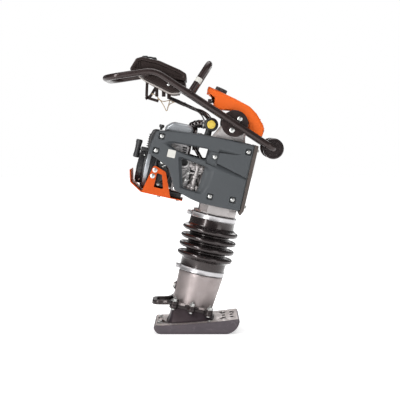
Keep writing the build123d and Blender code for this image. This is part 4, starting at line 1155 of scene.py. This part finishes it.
def cord_shape():
    """The tan pull cord, hanging in loops from the bracket."""
    first = [(-172, -6, 905), (-158, -10, 900), (-139, -12, 880), (-125, -13, 858), (-115, -14, 840),
             (-108, -14, 858),
             (-103, -13, 880), (-100, -12, 897)]
    second = [(-150, -11, 886), (-128, -12, 876), (-104, -12, 879), (-86, -12, 873), (-74, -11, 874),
              (-86, -11, 881), (-100, -12, 884)]
    third = [(-112, -13, 850), (-102, -13, 866), (-88, -12, 872)]
    return join(*(tube(smooth_path(run, 7), 1.7, 10) for run in (first, second, third)))


piece("pull_cord", cord_shape(), ROW, "handle", ("rope", CORD))


# Tank

TANK_SIDE = [(40, 917), (45, 931), (144, 885), (200, 855), (226, 828), (251, 784), (254, 765), (244, 736),
             (197, 766)]
TANK_SIDE += [(195, 792), (183, 817), (160, 834), (133, 841), (82, 844), (64, 862), (67, 890), (47, 901)]
TANK_CORNERS = [3, 4, 60, 40, 30, 14, 10, 6, 8, 20, 30, 30, 30, 14, 12, 8, 4]


def tank_inset(x, z):
    """Deep along the top of the tank, shallow under it."""
    top = float(np.interp(x, [40, 60, 144, 200, 226, 254], [918, 912, 872, 842, 812, 768]))
    return 13 if z > top else 4


def tank_shape():
    body = barrel(TANK_SIDE, TANK_CORNERS, 118, 15, tank_inset, 7)
    ribs = []
    for x, z in ((238, 806), (246, 790), (252, 772)):
        ribs.append(moved(slab((-2, -96, -3), (2, 96, 3), 1.2), at(x, 0, z) @ turn(60, "Y")))
    lip = slab((39, -60, 903), (49, 60, 909), 2)
    return join(body, *ribs, lip)


piece("tank_shell", tank_shape(), ROW, "handle", finish("orange_plastic"), ["fuel_tank"], crease=32)
CAP_PLACE = at(90, 0, 909) @ turn(25, "Y")


def cap_shape():
    """A screw cap with finger ribs round its edge and a dished top."""
    def knurl(radius, h):
        loop = []
        for k in range(144):
            angle = 2 * pi * k / 144
            loop.append(((radius + 0.9 * cos(18 * angle)) * cos(angle),
                         (radius + 0.9 * cos(18 * angle)) * sin(angle), h))
        return loop
    def plain(radius, h):
        return [(radius * cos(2 * pi * k / 144), radius * sin(2 * pi * k / 144), h) for k in range(144)]
    loops = [plain(13, -8), plain(13, 2.2), knurl(21.4, 2.4), knurl(22.2, 4), knurl(22.2, 15.6)]
    loops += [plain(20.5, 18), plain(17.5, 18.2), plain(16.5, 16.4), plain(4, 16.2)]
    return loft(loops)


piece("tank_cap", moved(cap_shape(), CAP_PLACE), ROW, "fuel_cap", finish("engine_black"), ["fuel_cap"])
neck = lathe([(16, -6), (21, -6), (21.5, 0), (20, 2), (16, 2), (16, -6)], 48)
piece("tank_neck", moved(neck, CAP_PLACE), ROW, "handle", finish("orange_plastic"))


def tap_shape():
    body = moved(lathe([(0, -10), (7, -10), (8, -9), (8, 4), (6, 5), (6, 12), (0, 12)], 32),
                 at(53, -60, 876) @ turn(90, "Y"))
    lever = barrel([(43, 848), (43, 884), (48, 884), (49, 848)], 1.8, 5.5, 2, 1)
    return join(body, moved(lever, at(0, -60, 0)))


piece("fuel_tap_lever", tap_shape(), ROW, "fuel_tap", finish("engine_black"), ["fuel_tap"])


def grommet_shape():
    """The rubber grommet behind the tank."""
    profile = [(0, -4), (9, -4), (10, -2), (7, 0), (10, 2), (9, 5), (0, 5)]
    return moved(lathe(profile, 28), at(60, -98, 876) @ turn(-90, "Y"))


piece("tank_grommet", grommet_shape(), ROW, "handle", finish("rubber"))


# Bail label

def bail_sleeve():
    foot, top = Vector((-24.4, -160, 901.7)), Vector((47.5, -118, 1014))
    low_end, high_end = foot.lerp(top, 0.36), foot.lerp(top, 0.5)
    return tube([low_end, high_end], 12.9, 40)


piece("bail_blank_label", bail_sleeve(), ROW, "handle", ("tube_black", LABEL))


# Engine, in the leg frame

def shield_shape():
    """The pressed silver shield: a soft-cornered dome over a rolled lower edge."""
    side = [(-255, 633), (-252, 655), (-229, 676), (-166, 677), (-147, 668), (-147, 633)]
    dome = barrel(side, [14, 20, 26, 24, 16, 14], 78, 20, 13, 8, 7)
    seam = [(-243, 648), (-222, 664), (-176, 665), (-156, 655), (-155, 634)]
    bead = [(p, -72.5, h) for p, h in rounded(seam, 8, 4)[3:-3]]
    lip = barrel([(-258, 630), (-258, 636), (-145, 636), (-145, 630)], 2.5, 81, 3, 2)
    return join(dome, lip, both_sides(tube(bead, 1.5, 8)))


piece("heat_shield", shield_shape(), LEG, "housing", finish("shield_silver"), ["muffler_shield"], crease=50)


def rocker_cover():
    """The rocker cover, its bolts and the cowl plate with cooling slots beside the head."""
    cover = barrel([(-226, 598.5), (-226, 622), (-146, 622), (-146, 598.5)], [6, 8, 8, 6], 52, 6, 5)
    slots = [rounded([(-172, 568 + 9 * k), (-156, 568 + 9 * k), (-156, 572.5 + 9 * k), (-172, 572.5 + 9 * k)],
                     2, 3) for k in range(3)]
    plate = rounded([(-228, 540), (-150, 536), (-148, 594), (-168, 604), (-226, 600)], 8, 5)
    cowl = panel(plate, -67, -60, slots, 1.5)
    foot = panel(rounded([(-216, 572), (-184, 570), (-184, 590), (-216, 592)], 5, 4), -71, -66, bevel=1.5)
    bolt = moved(flange_bolt(5), at(-200, -71, 581) @ TO_RIGHT)
    ribs = [slab((-212 + 12 * k, -48, 620), (-208 + 12 * k, 48, 624), 1.2) for k in range(5)]
    return join(cover, *ribs, both_sides(join(cowl, foot, bolt)))


piece("rocker_cover_and_cowl", rocker_cover(), LEG, "housing", finish("engine_aluminium"), ["valve_cover"])


def fins():
    """Cooling fins with rounded rims round the cylinder."""
    stack = [lathe([(0, 533), (34, 533), (34, 598), (0, 598)], 48)]
    for k in range(8):
        low = 536.5 + 8 * k
        rim = barrel([(-41, low), (-41, low + 2.4), (41, low + 2.4), (41, low)], 1.1, 52, 1, 0.8, 2, 2)
        stack.append(rim)
    return moved(join(*stack), at(-186, 0, 0))


piece("finned_cylinder", fins(), LEG, "housing", finish("engine_aluminium"), ["engine_cylinder"])


def block_cover():
    """The engine's black side cover."""
    cover = panel(rounded([(-243, 424), (-186, 422), (-186, 526), (-243, 524)], 12, 5), -79, -70, bevel=2.5)
    raised = panel(rounded([(-232, 434), (-194, 433), (-194, 506), (-232, 512)], 12, 5), -84, -77, bevel=2.5)
    return join(cover, raised)


def block_casting():
    """The cast block behind the lower window: a plate with slanted struts round the breather port."""
    plate = panel(rounded([(-186, 420), (-126, 418), (-126, 546), (-186, 548)], 10, 5), -74, -66, bevel=2)
    collar = moved(lathe([(14, 0), (20, 0), (19, 8), (14, 9), (14, 0)], 40), at(-155, -74, 533) @ TO_RIGHT)
    struts = []
    for low, high in (((-178, 440), (-132, 500)), ((-168, 426), (-124, 474)), ((-176, 500), (-140, 512))):
        run = [(low[0], -76, low[1]), (high[0], -76, high[1])]
        struts.append(sweep(run, rounded([(-4.5, -5), (4.5, -5), (3.4, 5), (-3.4, 5)], 1.6, 3), up=(0, 0, 1)))
    bosses = []
    for p, h in ((-132, 500), (-168, 430), (-140, 470)):
        bosses.append(moved(lathe([(0, 0), (9, 0), (8, 8), (0, 8)], 32), at(p, -74, h) @ TO_RIGHT))
    return join(plate, collar, *struts, *bosses)


def block_bolts():
    places = ((-236, 431, 79), (-194, 428, 79), (-236, 516, 79), (-132, 500, 82), (-168, 430, 82),
              (-140, 470, 82))
    return join(*(moved(flange_bolt(4.4), at(p, -y, h) @ TO_RIGHT @ turn(p, "Z")) for p, h, y in places))


def bell_details():
    """Ribs and bolts of the clutch housing between engine and crankcase."""
    parts = []
    for k in range(12):
        rib = panel(rounded([(-121, 54), (-121, 60), (-90, 66), (-77, 70), (-77, 54)], 2, 3), -2.4, 2.4,
                    bevel=0.8)
        parts.append(moved(rib, at(0, 0, ENGINE_HEIGHT) @ turn(30 * k + 15, "X")))
    flange = lathe([(56.5, 74.5), (70, 74.5), (71.5, 76), (71.5, 83), (70, 84.5), (56.5, 84.5), (56.5, 74.5)],
                   72)
    sleeve = lathe([(56.2, 84), (57.6, 84.2), (58.5, 118), (57, 121), (56.2, 121), (56.2, 84)], 72)
    parts += [moved(ring_shape, at(0, 0, ENGINE_HEIGHT) @ turn(-90, "Y")) for ring_shape in (flange, sleeve)]
    for k in range(8):
        bolt = moved(flange_bolt(4.6), at(-84.5, 0, 0) @ turn(-90, "Y"))
        parts.append(moved(bolt, at(0, 0, ENGINE_HEIGHT) @ turn(45 * k + 22, "X") @ at(0, 0, 64)))
    return join(*parts)


def window_fittings():
    """Oil pipe, brackets and bars that show through the lower window."""
    column = [(-103, -84, 434), (-104, -85, 470), (-101, -85, 505), (-104, -84, 540)]
    parts = [sweep(smooth_path(column, 8), lambda i: ring(9 + 1.4 * cos(i * 0.9), 24))]
    parts.append(tube([(-130, -88, 529), (-80, -88, 526)], 4.5, 20))
    parts.append(tube([(-126, -86, 500), (-82, -87, 506)], 3.6, 20))
    for p, h in ((-126, 529), (-84, 526), (-122, 447), (-88, 446)):
        parts.append(moved(flange_bolt(5), at(p, -90, h) @ TO_RIGHT))
    for h in (446, 488, 530):
        parts.append(moved(lathe([(0, -4), (12.5, -4), (13.5, -2), (13.5, 2), (12.5, 4), (0, 4)], 32),
                           at(-103, -85, h)))
    web = panel(rounded([(-126, 434), (-78, 432), (-78, 452), (-96, 462), (-126, 458)], 6, 4), -86, -76,
                bevel=2)
    arm = panel(rounded([(-124, 512), (-76, 508), (-76, 532), (-124, 536)], 5, 4), -86, -76, bevel=2)
    return join(*parts, web, arm)


def dark_port():
    """The black breather port at the window's top corner."""
    port = lathe([(0, 0), (13, 0), (13.6, 2), (13.6, 10), (12.4, 12), (10.5, 12), (10, 3), (0, 3)], 40)
    return moved(port, at(-155, -82, 533) @ TO_RIGHT)


for body_node in ("engine_block", "crankcase"):
    soften(body_node, 2.0)
piece("engine_side_cover", both_sides(block_cover()), LEG, "housing", finish("engine_black"))
piece("engine_side_casting", both_sides(block_casting()), LEG, "housing", finish("engine_aluminium"))
casting = join(both_sides(window_fittings()), bell_details())
piece("clutch_housing_castings", casting, LEG, "housing", finish("cast_aluminium"))
piece("engine_cover_bolts", both_sides(block_bolts()), LEG, "housing", finish("zinc"))
piece("breather_port", both_sides(dark_port()), LEG, "housing", finish("engine_black"))


def hose(points, radius, pitch=1, depth=0.9, steps=12, sides=24):
    run = smooth_path(points, steps)
    return sweep(run, lambda i: ring(radius + depth * (1 if (i // pitch) % 2 else 0), sides))


def engine_hoses():
    breather = hose([(-134, -58, 602), (-120, -64, 588), (-104, -66, 570), (-92, -66, 556), (-84, -66, 548)],
                    7, 1, 0.7)
    band = slab((-152, -60, 545), (-141, -40, 604), 2)
    rear = hose([(-226, -82, 440), (-205, -90, 452), (-196, -88, 474), (-208, -84, 500), (-226, -82, 520)],
                6.5, 1, 0.9)
    return join(breather, rear, band)


piece("engine_hoses", engine_hoses(), LEG, "housing", finish("rubber"))
strap = tube(smooth_path([(-232, -84, 500), (-214, -92, 512), (-200, -92, 500), (-196, -90, 480)], 8), 3, 16)
piece("fuel_pipe", strap, LEG, "housing", finish("zinc"))


def intake_shape():
    throat = LEG_IN_ROW @ Vector((-128, -45, 655.1))
    run = smooth_path([(34, -45, 788), (10, -45, 790), (-14, -45, 783), (-27, -45, 762),
                       (throat.x - 3, -45, throat.z)], 12)
    dense = []
    for a, b in zip(run, run[1:]):
        count = max(1, round((b - a).length / 1.6))
        dense += [a.lerp(b, k / count) for k in range(count)]
    dense.append(run[-1])
    ribbed = sweep(dense, lambda i: ring(15.6 + 0.8 * sin(i * 1.1), 32), up=(0, 1, 0))
    clip = tube([run[0] + Vector((-4, 0, 0)), run[0] + Vector((-11, 0, 0))], 17.2, 32)
    return ribbed, clip


ribbed, clip = intake_shape()
piece("intake_elbow", ribbed, ROW, "housing", finish("rubber"), ["intake_hose"], crease=60)
piece("intake_hose_clip", clip, ROW, "housing", finish("zinc"))


def filter_shape():
    """The round filter housing: clip bands, ribs and a stepped near end."""
    profile = [(0, -60), (23, -60), (25, -57), (25, -20), (26.4, -18), (26.4, -12), (25, -10), (25, 58),
               (26.6, 60)]
    profile += [(26.6, 70), (25, 72), (25, 80), (23.4, 83), (19, 84), (18, 82.5), (0, 82.5)]
    can = moved(lathe(profile, 64), at(55.6, 0, 787) @ TO_RIGHT)
    stalk = moved(slab((-93, -20, 630), (-77, 20, 684), 3), LEG_IN_ROW)
    neck = tube(smooth_path([(46, -66, 768), (40, -66, 750), (30, -62, 732), (24, -56, 716)], 8), 11, 28)
    return join(can, stalk, neck)


piece("filter_housing", filter_shape(), ROW, "housing", finish("engine_black"), ["air_filter_can"])
cap_profile = [(0, 84.1), (15.4, 84.1), (16.2, 85.5), (16.2, 90), (15, 91.6), (11.5, 92), (10.8, 91), (0, 91)]
piece("filter_cap", moved(lathe(cap_profile, 48), at(55.6, 0, 787) @ TO_RIGHT), ROW, "housing",
      finish("cap_yellow"), ["air_filter_cap"])


# Starter

def starter_shape():
    """The black starter cover: cooling ribs round its wall, a slotted face and the rope's horn."""
    shell = [(0, 262.2), (75, 262.2), (76.4, 264), (76.4, 270), (74, 272), (74, 296), (70, 304), (62, 307),
             (60, 309)]
    shell += [(60, 322), (56.5, 326), (50, 327), (0, 327)]
    parts = [moved(lathe(shell, 96), at(0, 0, ENGINE_HEIGHT) @ turn(-90, "Y"))]
    for k in range(28):
        rib = slab((-302, -1.6, 71), (-272, 1.6, 77.4), 1)
        parts.append(moved(rib, at(0, 0, ENGINE_HEIGHT) @ turn(360 * k / 28, "X")))
    for k in range(18):
        face_rib = slab((-329, -1.5, 20), (-324, 1.5, 55), 1)
        wall_rib = slab((-324, -1.8, 57), (-308, 1.8, 62.5), 1)
        parts.append(moved(join(face_rib, wall_rib), at(0, 0, ENGINE_HEIGHT) @ turn(20 * k, "X")))
    hub = lathe([(0, 326), (18, 326), (18, 330), (15, 331), (0, 331)], 48)
    parts.append(moved(hub, at(0, 0, ENGINE_HEIGHT) @ turn(-90, "Y")))
    horn = lathe([(4, 300), (12, 300), (12, 325), (10, 328.4), (5.5, 328.4), (4, 326), (4, 300)], 40)
    parts.append(moved(horn, at(0, 0, 545) @ turn(-90, "Y")))
    duct = barrel([(-302, 552), (-306, 600), (-296, 632), (-268, 636), (-263, 560)], [9, 20, 14, 12, 9], 62,
                  10, 8)
    louvres = [slab((-309 + 0.4 * k, -50, 562 + 9 * k), (-303 + 0.4 * k, 50, 566 + 9 * k), 1.2)
               for k in range(6)]
    return join(*parts, duct, *louvres)


edge_band = lathe([(76, 281), (78.6, 281.6), (79.6, 284), (79.6, 294), (78.6, 296.4), (74, 297), (74, 281),
                   (76, 281)], 96)
piece("shroud_edge", moved(edge_band, at(0, 0, ENGINE_HEIGHT) @ turn(-90, "Y")), LEG, "housing",
      finish("shield_silver"))
piece("starter_cover", starter_shape(), LEG, "housing", finish("engine_black"), ["recoil_housing"])


def starter_bolts():
    bolts = []
    for k in range(4):
        spoke = at(0, 0, ENGINE_HEIGHT) @ turn(90 * k + 45, "X")
        bolts.append(moved(flange_bolt(4.4), spoke @ at(-307, 0, 66) @ turn(-90, "Y")))
    return join(*bolts)


piece("starter_cover_bolts", starter_bolts(), LEG, "housing", finish("zinc"))
knob = lathe([(0, 0), (5, 0), (5, 8), (9, 10), (10, 13), (10, 18), (8, 21), (0, 21)], 32)
piece("choke_cable_knob", moved(knob, at(-268, -40, 634)), LEG, "housing", finish("engine_black"))


def grip_shape():
    """The T grip: a waisted bar with end flares on a short stem."""
    bar = [(0, 511), (9.5, 511), (12.4, 514), (12.6, 521), (11.2, 529), (10.6, 546), (11.2, 564), (12.6, 571)]
    bar += [(12.4, 578), (9.5, 581), (0, 581)]
    stem = lathe([(0, 329.5), (4.5, 329.5), (5.5, 333), (8, 338), (0, 341)], 32)
    grooves = [moved(lathe([(10.4, -1), (12, 0), (10.4, 1), (9, 1), (9, -1), (10.4, -1)], 40),
                     at(-341, 0, 530 + 6 * k)) for k in range(6)]
    return join(moved(lathe(bar, 48), at(-341, 0, 0)), moved(stem, at(0, 0, 545) @ turn(-90, "Y")), *grooves)


piece("starter_grip_bar", grip_shape(), LEG, "starter_grip", finish("engine_black"), ["recoil_grip"])
rope_run = [LEG @ Vector((p, 0, 545)) / MM for p in np.linspace(-334, -300, 24)]
rope = piece("starter_cord", tube(rope_run, 2.2, 14), ROW, None, finish("rope"), ["starter_rope"])
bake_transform(rope)


# Orange guard under the engine, front plate

def engine_guard_shape():
    skin = [(-131, 393), (-131, 390), (-291, 390), (-338, 418), (-350, 464), (-347, 465), (-335.5, 420.5),
            (-290, 393)]
    parts = [panel(rounded(skin, [0.6, 0.6, 14, 10, 0.6, 0.6, 8, 11], 5), -100, 100, bevel=0.7)]
    outline = rounded([(-288, 392), (-264, 501), (-214, 484), (-177, 392)], [4, 9, 8, 4], 5)
    window = rounded([(-246, 474), (-226, 470), (-211, 419), (-247, 419)], 3.5, 4)
    parts.append(both_sides(panel(outline, -100.5, -97, [window], 0.8)))
    gusset = slab((-292, -98, 391.5), (-176, -92, 396), 1.2)
    parts.append(both_sides(gusset))
    return join(*parts)


def guard_hardware():
    bolts = [moved(flange_bolt(6), at(p, -100.4, h) @ TO_RIGHT) for p, h in ((-256, 482), (-260, 459))]
    under = [moved(flange_bolt(5.5), at(p, y, 389.9) @ turn(180, "X")) for p in (-222, -150)
             for y in (-70, 70)]
    return join(both_sides(join(*bolts)), *under)


piece("engine_guard_frame", engine_guard_shape(), LEG, "housing", finish("orange_steel"), ["engine_guard"])
piece("engine_guard_bolts", guard_hardware(), LEG, "housing", finish("zinc"))


def front_strip():
    side = [(89, 655), (105, 655), (103, 404), (93, 384), (84, 391), (89, 404)]
    return barrel(side, [2, 4, 10, 4, 4, 4], 128, 3, 2)


piece("front_strip", front_strip(), LEG, "housing", finish("dark_plate"), ["front_plate"], crease=50)
strip_bolts = [moved(flange_bolt(5), at(104.5, y, h) @ turn(90, "Y")) for h in (636, 420)
               for y in (-112, 112)]
piece("front_strip_bolts", join(*strip_bolts), LEG, "housing", finish("zinc"))


# Camera, light and floor

WORLD_DIFFUSE, WORLD_GLOSSY = 0.27, 0.17
FLOOR_REACH = 14
FLOOR_GAP = 0.0005
LENS_MM, SENSOR_MM = 110.5, 36
EYE = (0.013, -4.72, 0.778)
EYE_TILT_DOWN = 3.4


def light(name, place, aim, size, power, glossy_only=False):
    lamp = bpy.data.lights.new(name, "AREA")
    lamp.shape = "RECTANGLE"
    lamp.size, lamp.size_y = size
    lamp.energy = power
    holder = bpy.data.objects.new(name, lamp)
    holder.location = place
    holder.rotation_euler = (Vector(aim) - Vector(place)).to_track_quat("-Z", "Y").to_euler()
    holder.visible_diffuse = not glossy_only
    bpy.context.scene.collection.objects.link(holder)


def studio():
    middle = (0, 0, 0.55)
    light("key", (-1.7, -2.0, 2.7), middle, (1.0, 1.3), 66)
    light("fill", (2.4, -2.6, 1.2), middle, (1.4, 1.8), 20)
    light("top", (0.2, 0.4, 3.0), middle, (2.0, 2.0), 34)
    light("strip", (-1.55, -2.35, 0.9), (0, 0, 0.4), (0.36, 1.7), 34, glossy_only=True)
    light("back", (0.4, 2.8, 1.8), middle, (2.4, 1.6), 24)
    world = bpy.data.worlds.new("studio")
    bpy.context.scene.world = world
    world.use_nodes = True
    world_nodes, join_up = world.node_tree.nodes, world.node_tree.links.new
    backdrop = world_nodes["Background"]
    backdrop.inputs["Color"].default_value = (1, 1, 1, 1)
    rays = world_nodes.new("ShaderNodeLightPath")
    around = world_nodes.new("ShaderNodeMapRange")
    around.inputs["To Min"].default_value = WORLD_DIFFUSE
    around.inputs["To Max"].default_value = WORLD_GLOSSY
    strongest = world_nodes.new("ShaderNodeMath")
    strongest.operation = "MAXIMUM"
    join_up(rays.outputs["Is Glossy Ray"], around.inputs["Value"])
    join_up(around.outputs["Result"], strongest.inputs[0])
    join_up(rays.outputs["Is Camera Ray"], strongest.inputs[1])
    join_up(strongest.outputs[0], backdrop.inputs["Strength"])
    floor_mesh = bpy.data.meshes.new("floor")
    reach = FLOOR_REACH
    floor_mesh.from_pydata([(-reach, -reach, 0), (reach, -reach, 0), (reach, reach, 0), (-reach, reach, 0)],
                           [], [[0, 1, 2, 3]])
    floor = bpy.data.objects.new("floor", floor_mesh)
    floor.location.z = cad_low.z - FLOOR_GAP
    bpy.context.scene.collection.objects.link(floor)
    pale = material("floor", (0.9, 0.9, 0.9), 0.8, tint=(0.89, 0.89, 0.89), patch=0.5, bump=0.02)
    nodes, links = pale.node_tree.nodes, pale.node_tree.links
    glow = nodes["Principled BSDF"]
    glow.inputs["Emission Color"].default_value = (1, 1, 1, 1)
    away = nodes.new("ShaderNodeVectorMath")
    away.operation = "LENGTH"
    links.new(nodes.new("ShaderNodeTexCoord").outputs["Object"], away.inputs[0])
    brighter = nodes.new("ShaderNodeMapRange")
    for key, number in (("From Min", 0.4), ("From Max", 1.6), ("To Min", 0.55), ("To Max", 1.1)):
        brighter.inputs[key].default_value = number
    links.new(away.outputs["Value"], brighter.inputs["Value"])
    links.new(brighter.outputs["Result"], glow.inputs["Emission Strength"])
    floor_mesh.materials.append(pale)


def camera():
    lens = bpy.data.cameras.new("camera")
    lens.sensor_width = SENSOR_MM
    lens.lens = LENS_MM
    lens.clip_end = 60
    eye = bpy.data.objects.new("camera", lens)
    eye.location = EYE
    eye.rotation_euler = (radians(90 - EYE_TILT_DOWN), 0, 0)
    bpy.context.scene.collection.objects.link(eye)
    bpy.context.scene.camera = eye


studio()
camera()
bpy.context.scene.view_settings.view_transform = "Standard"
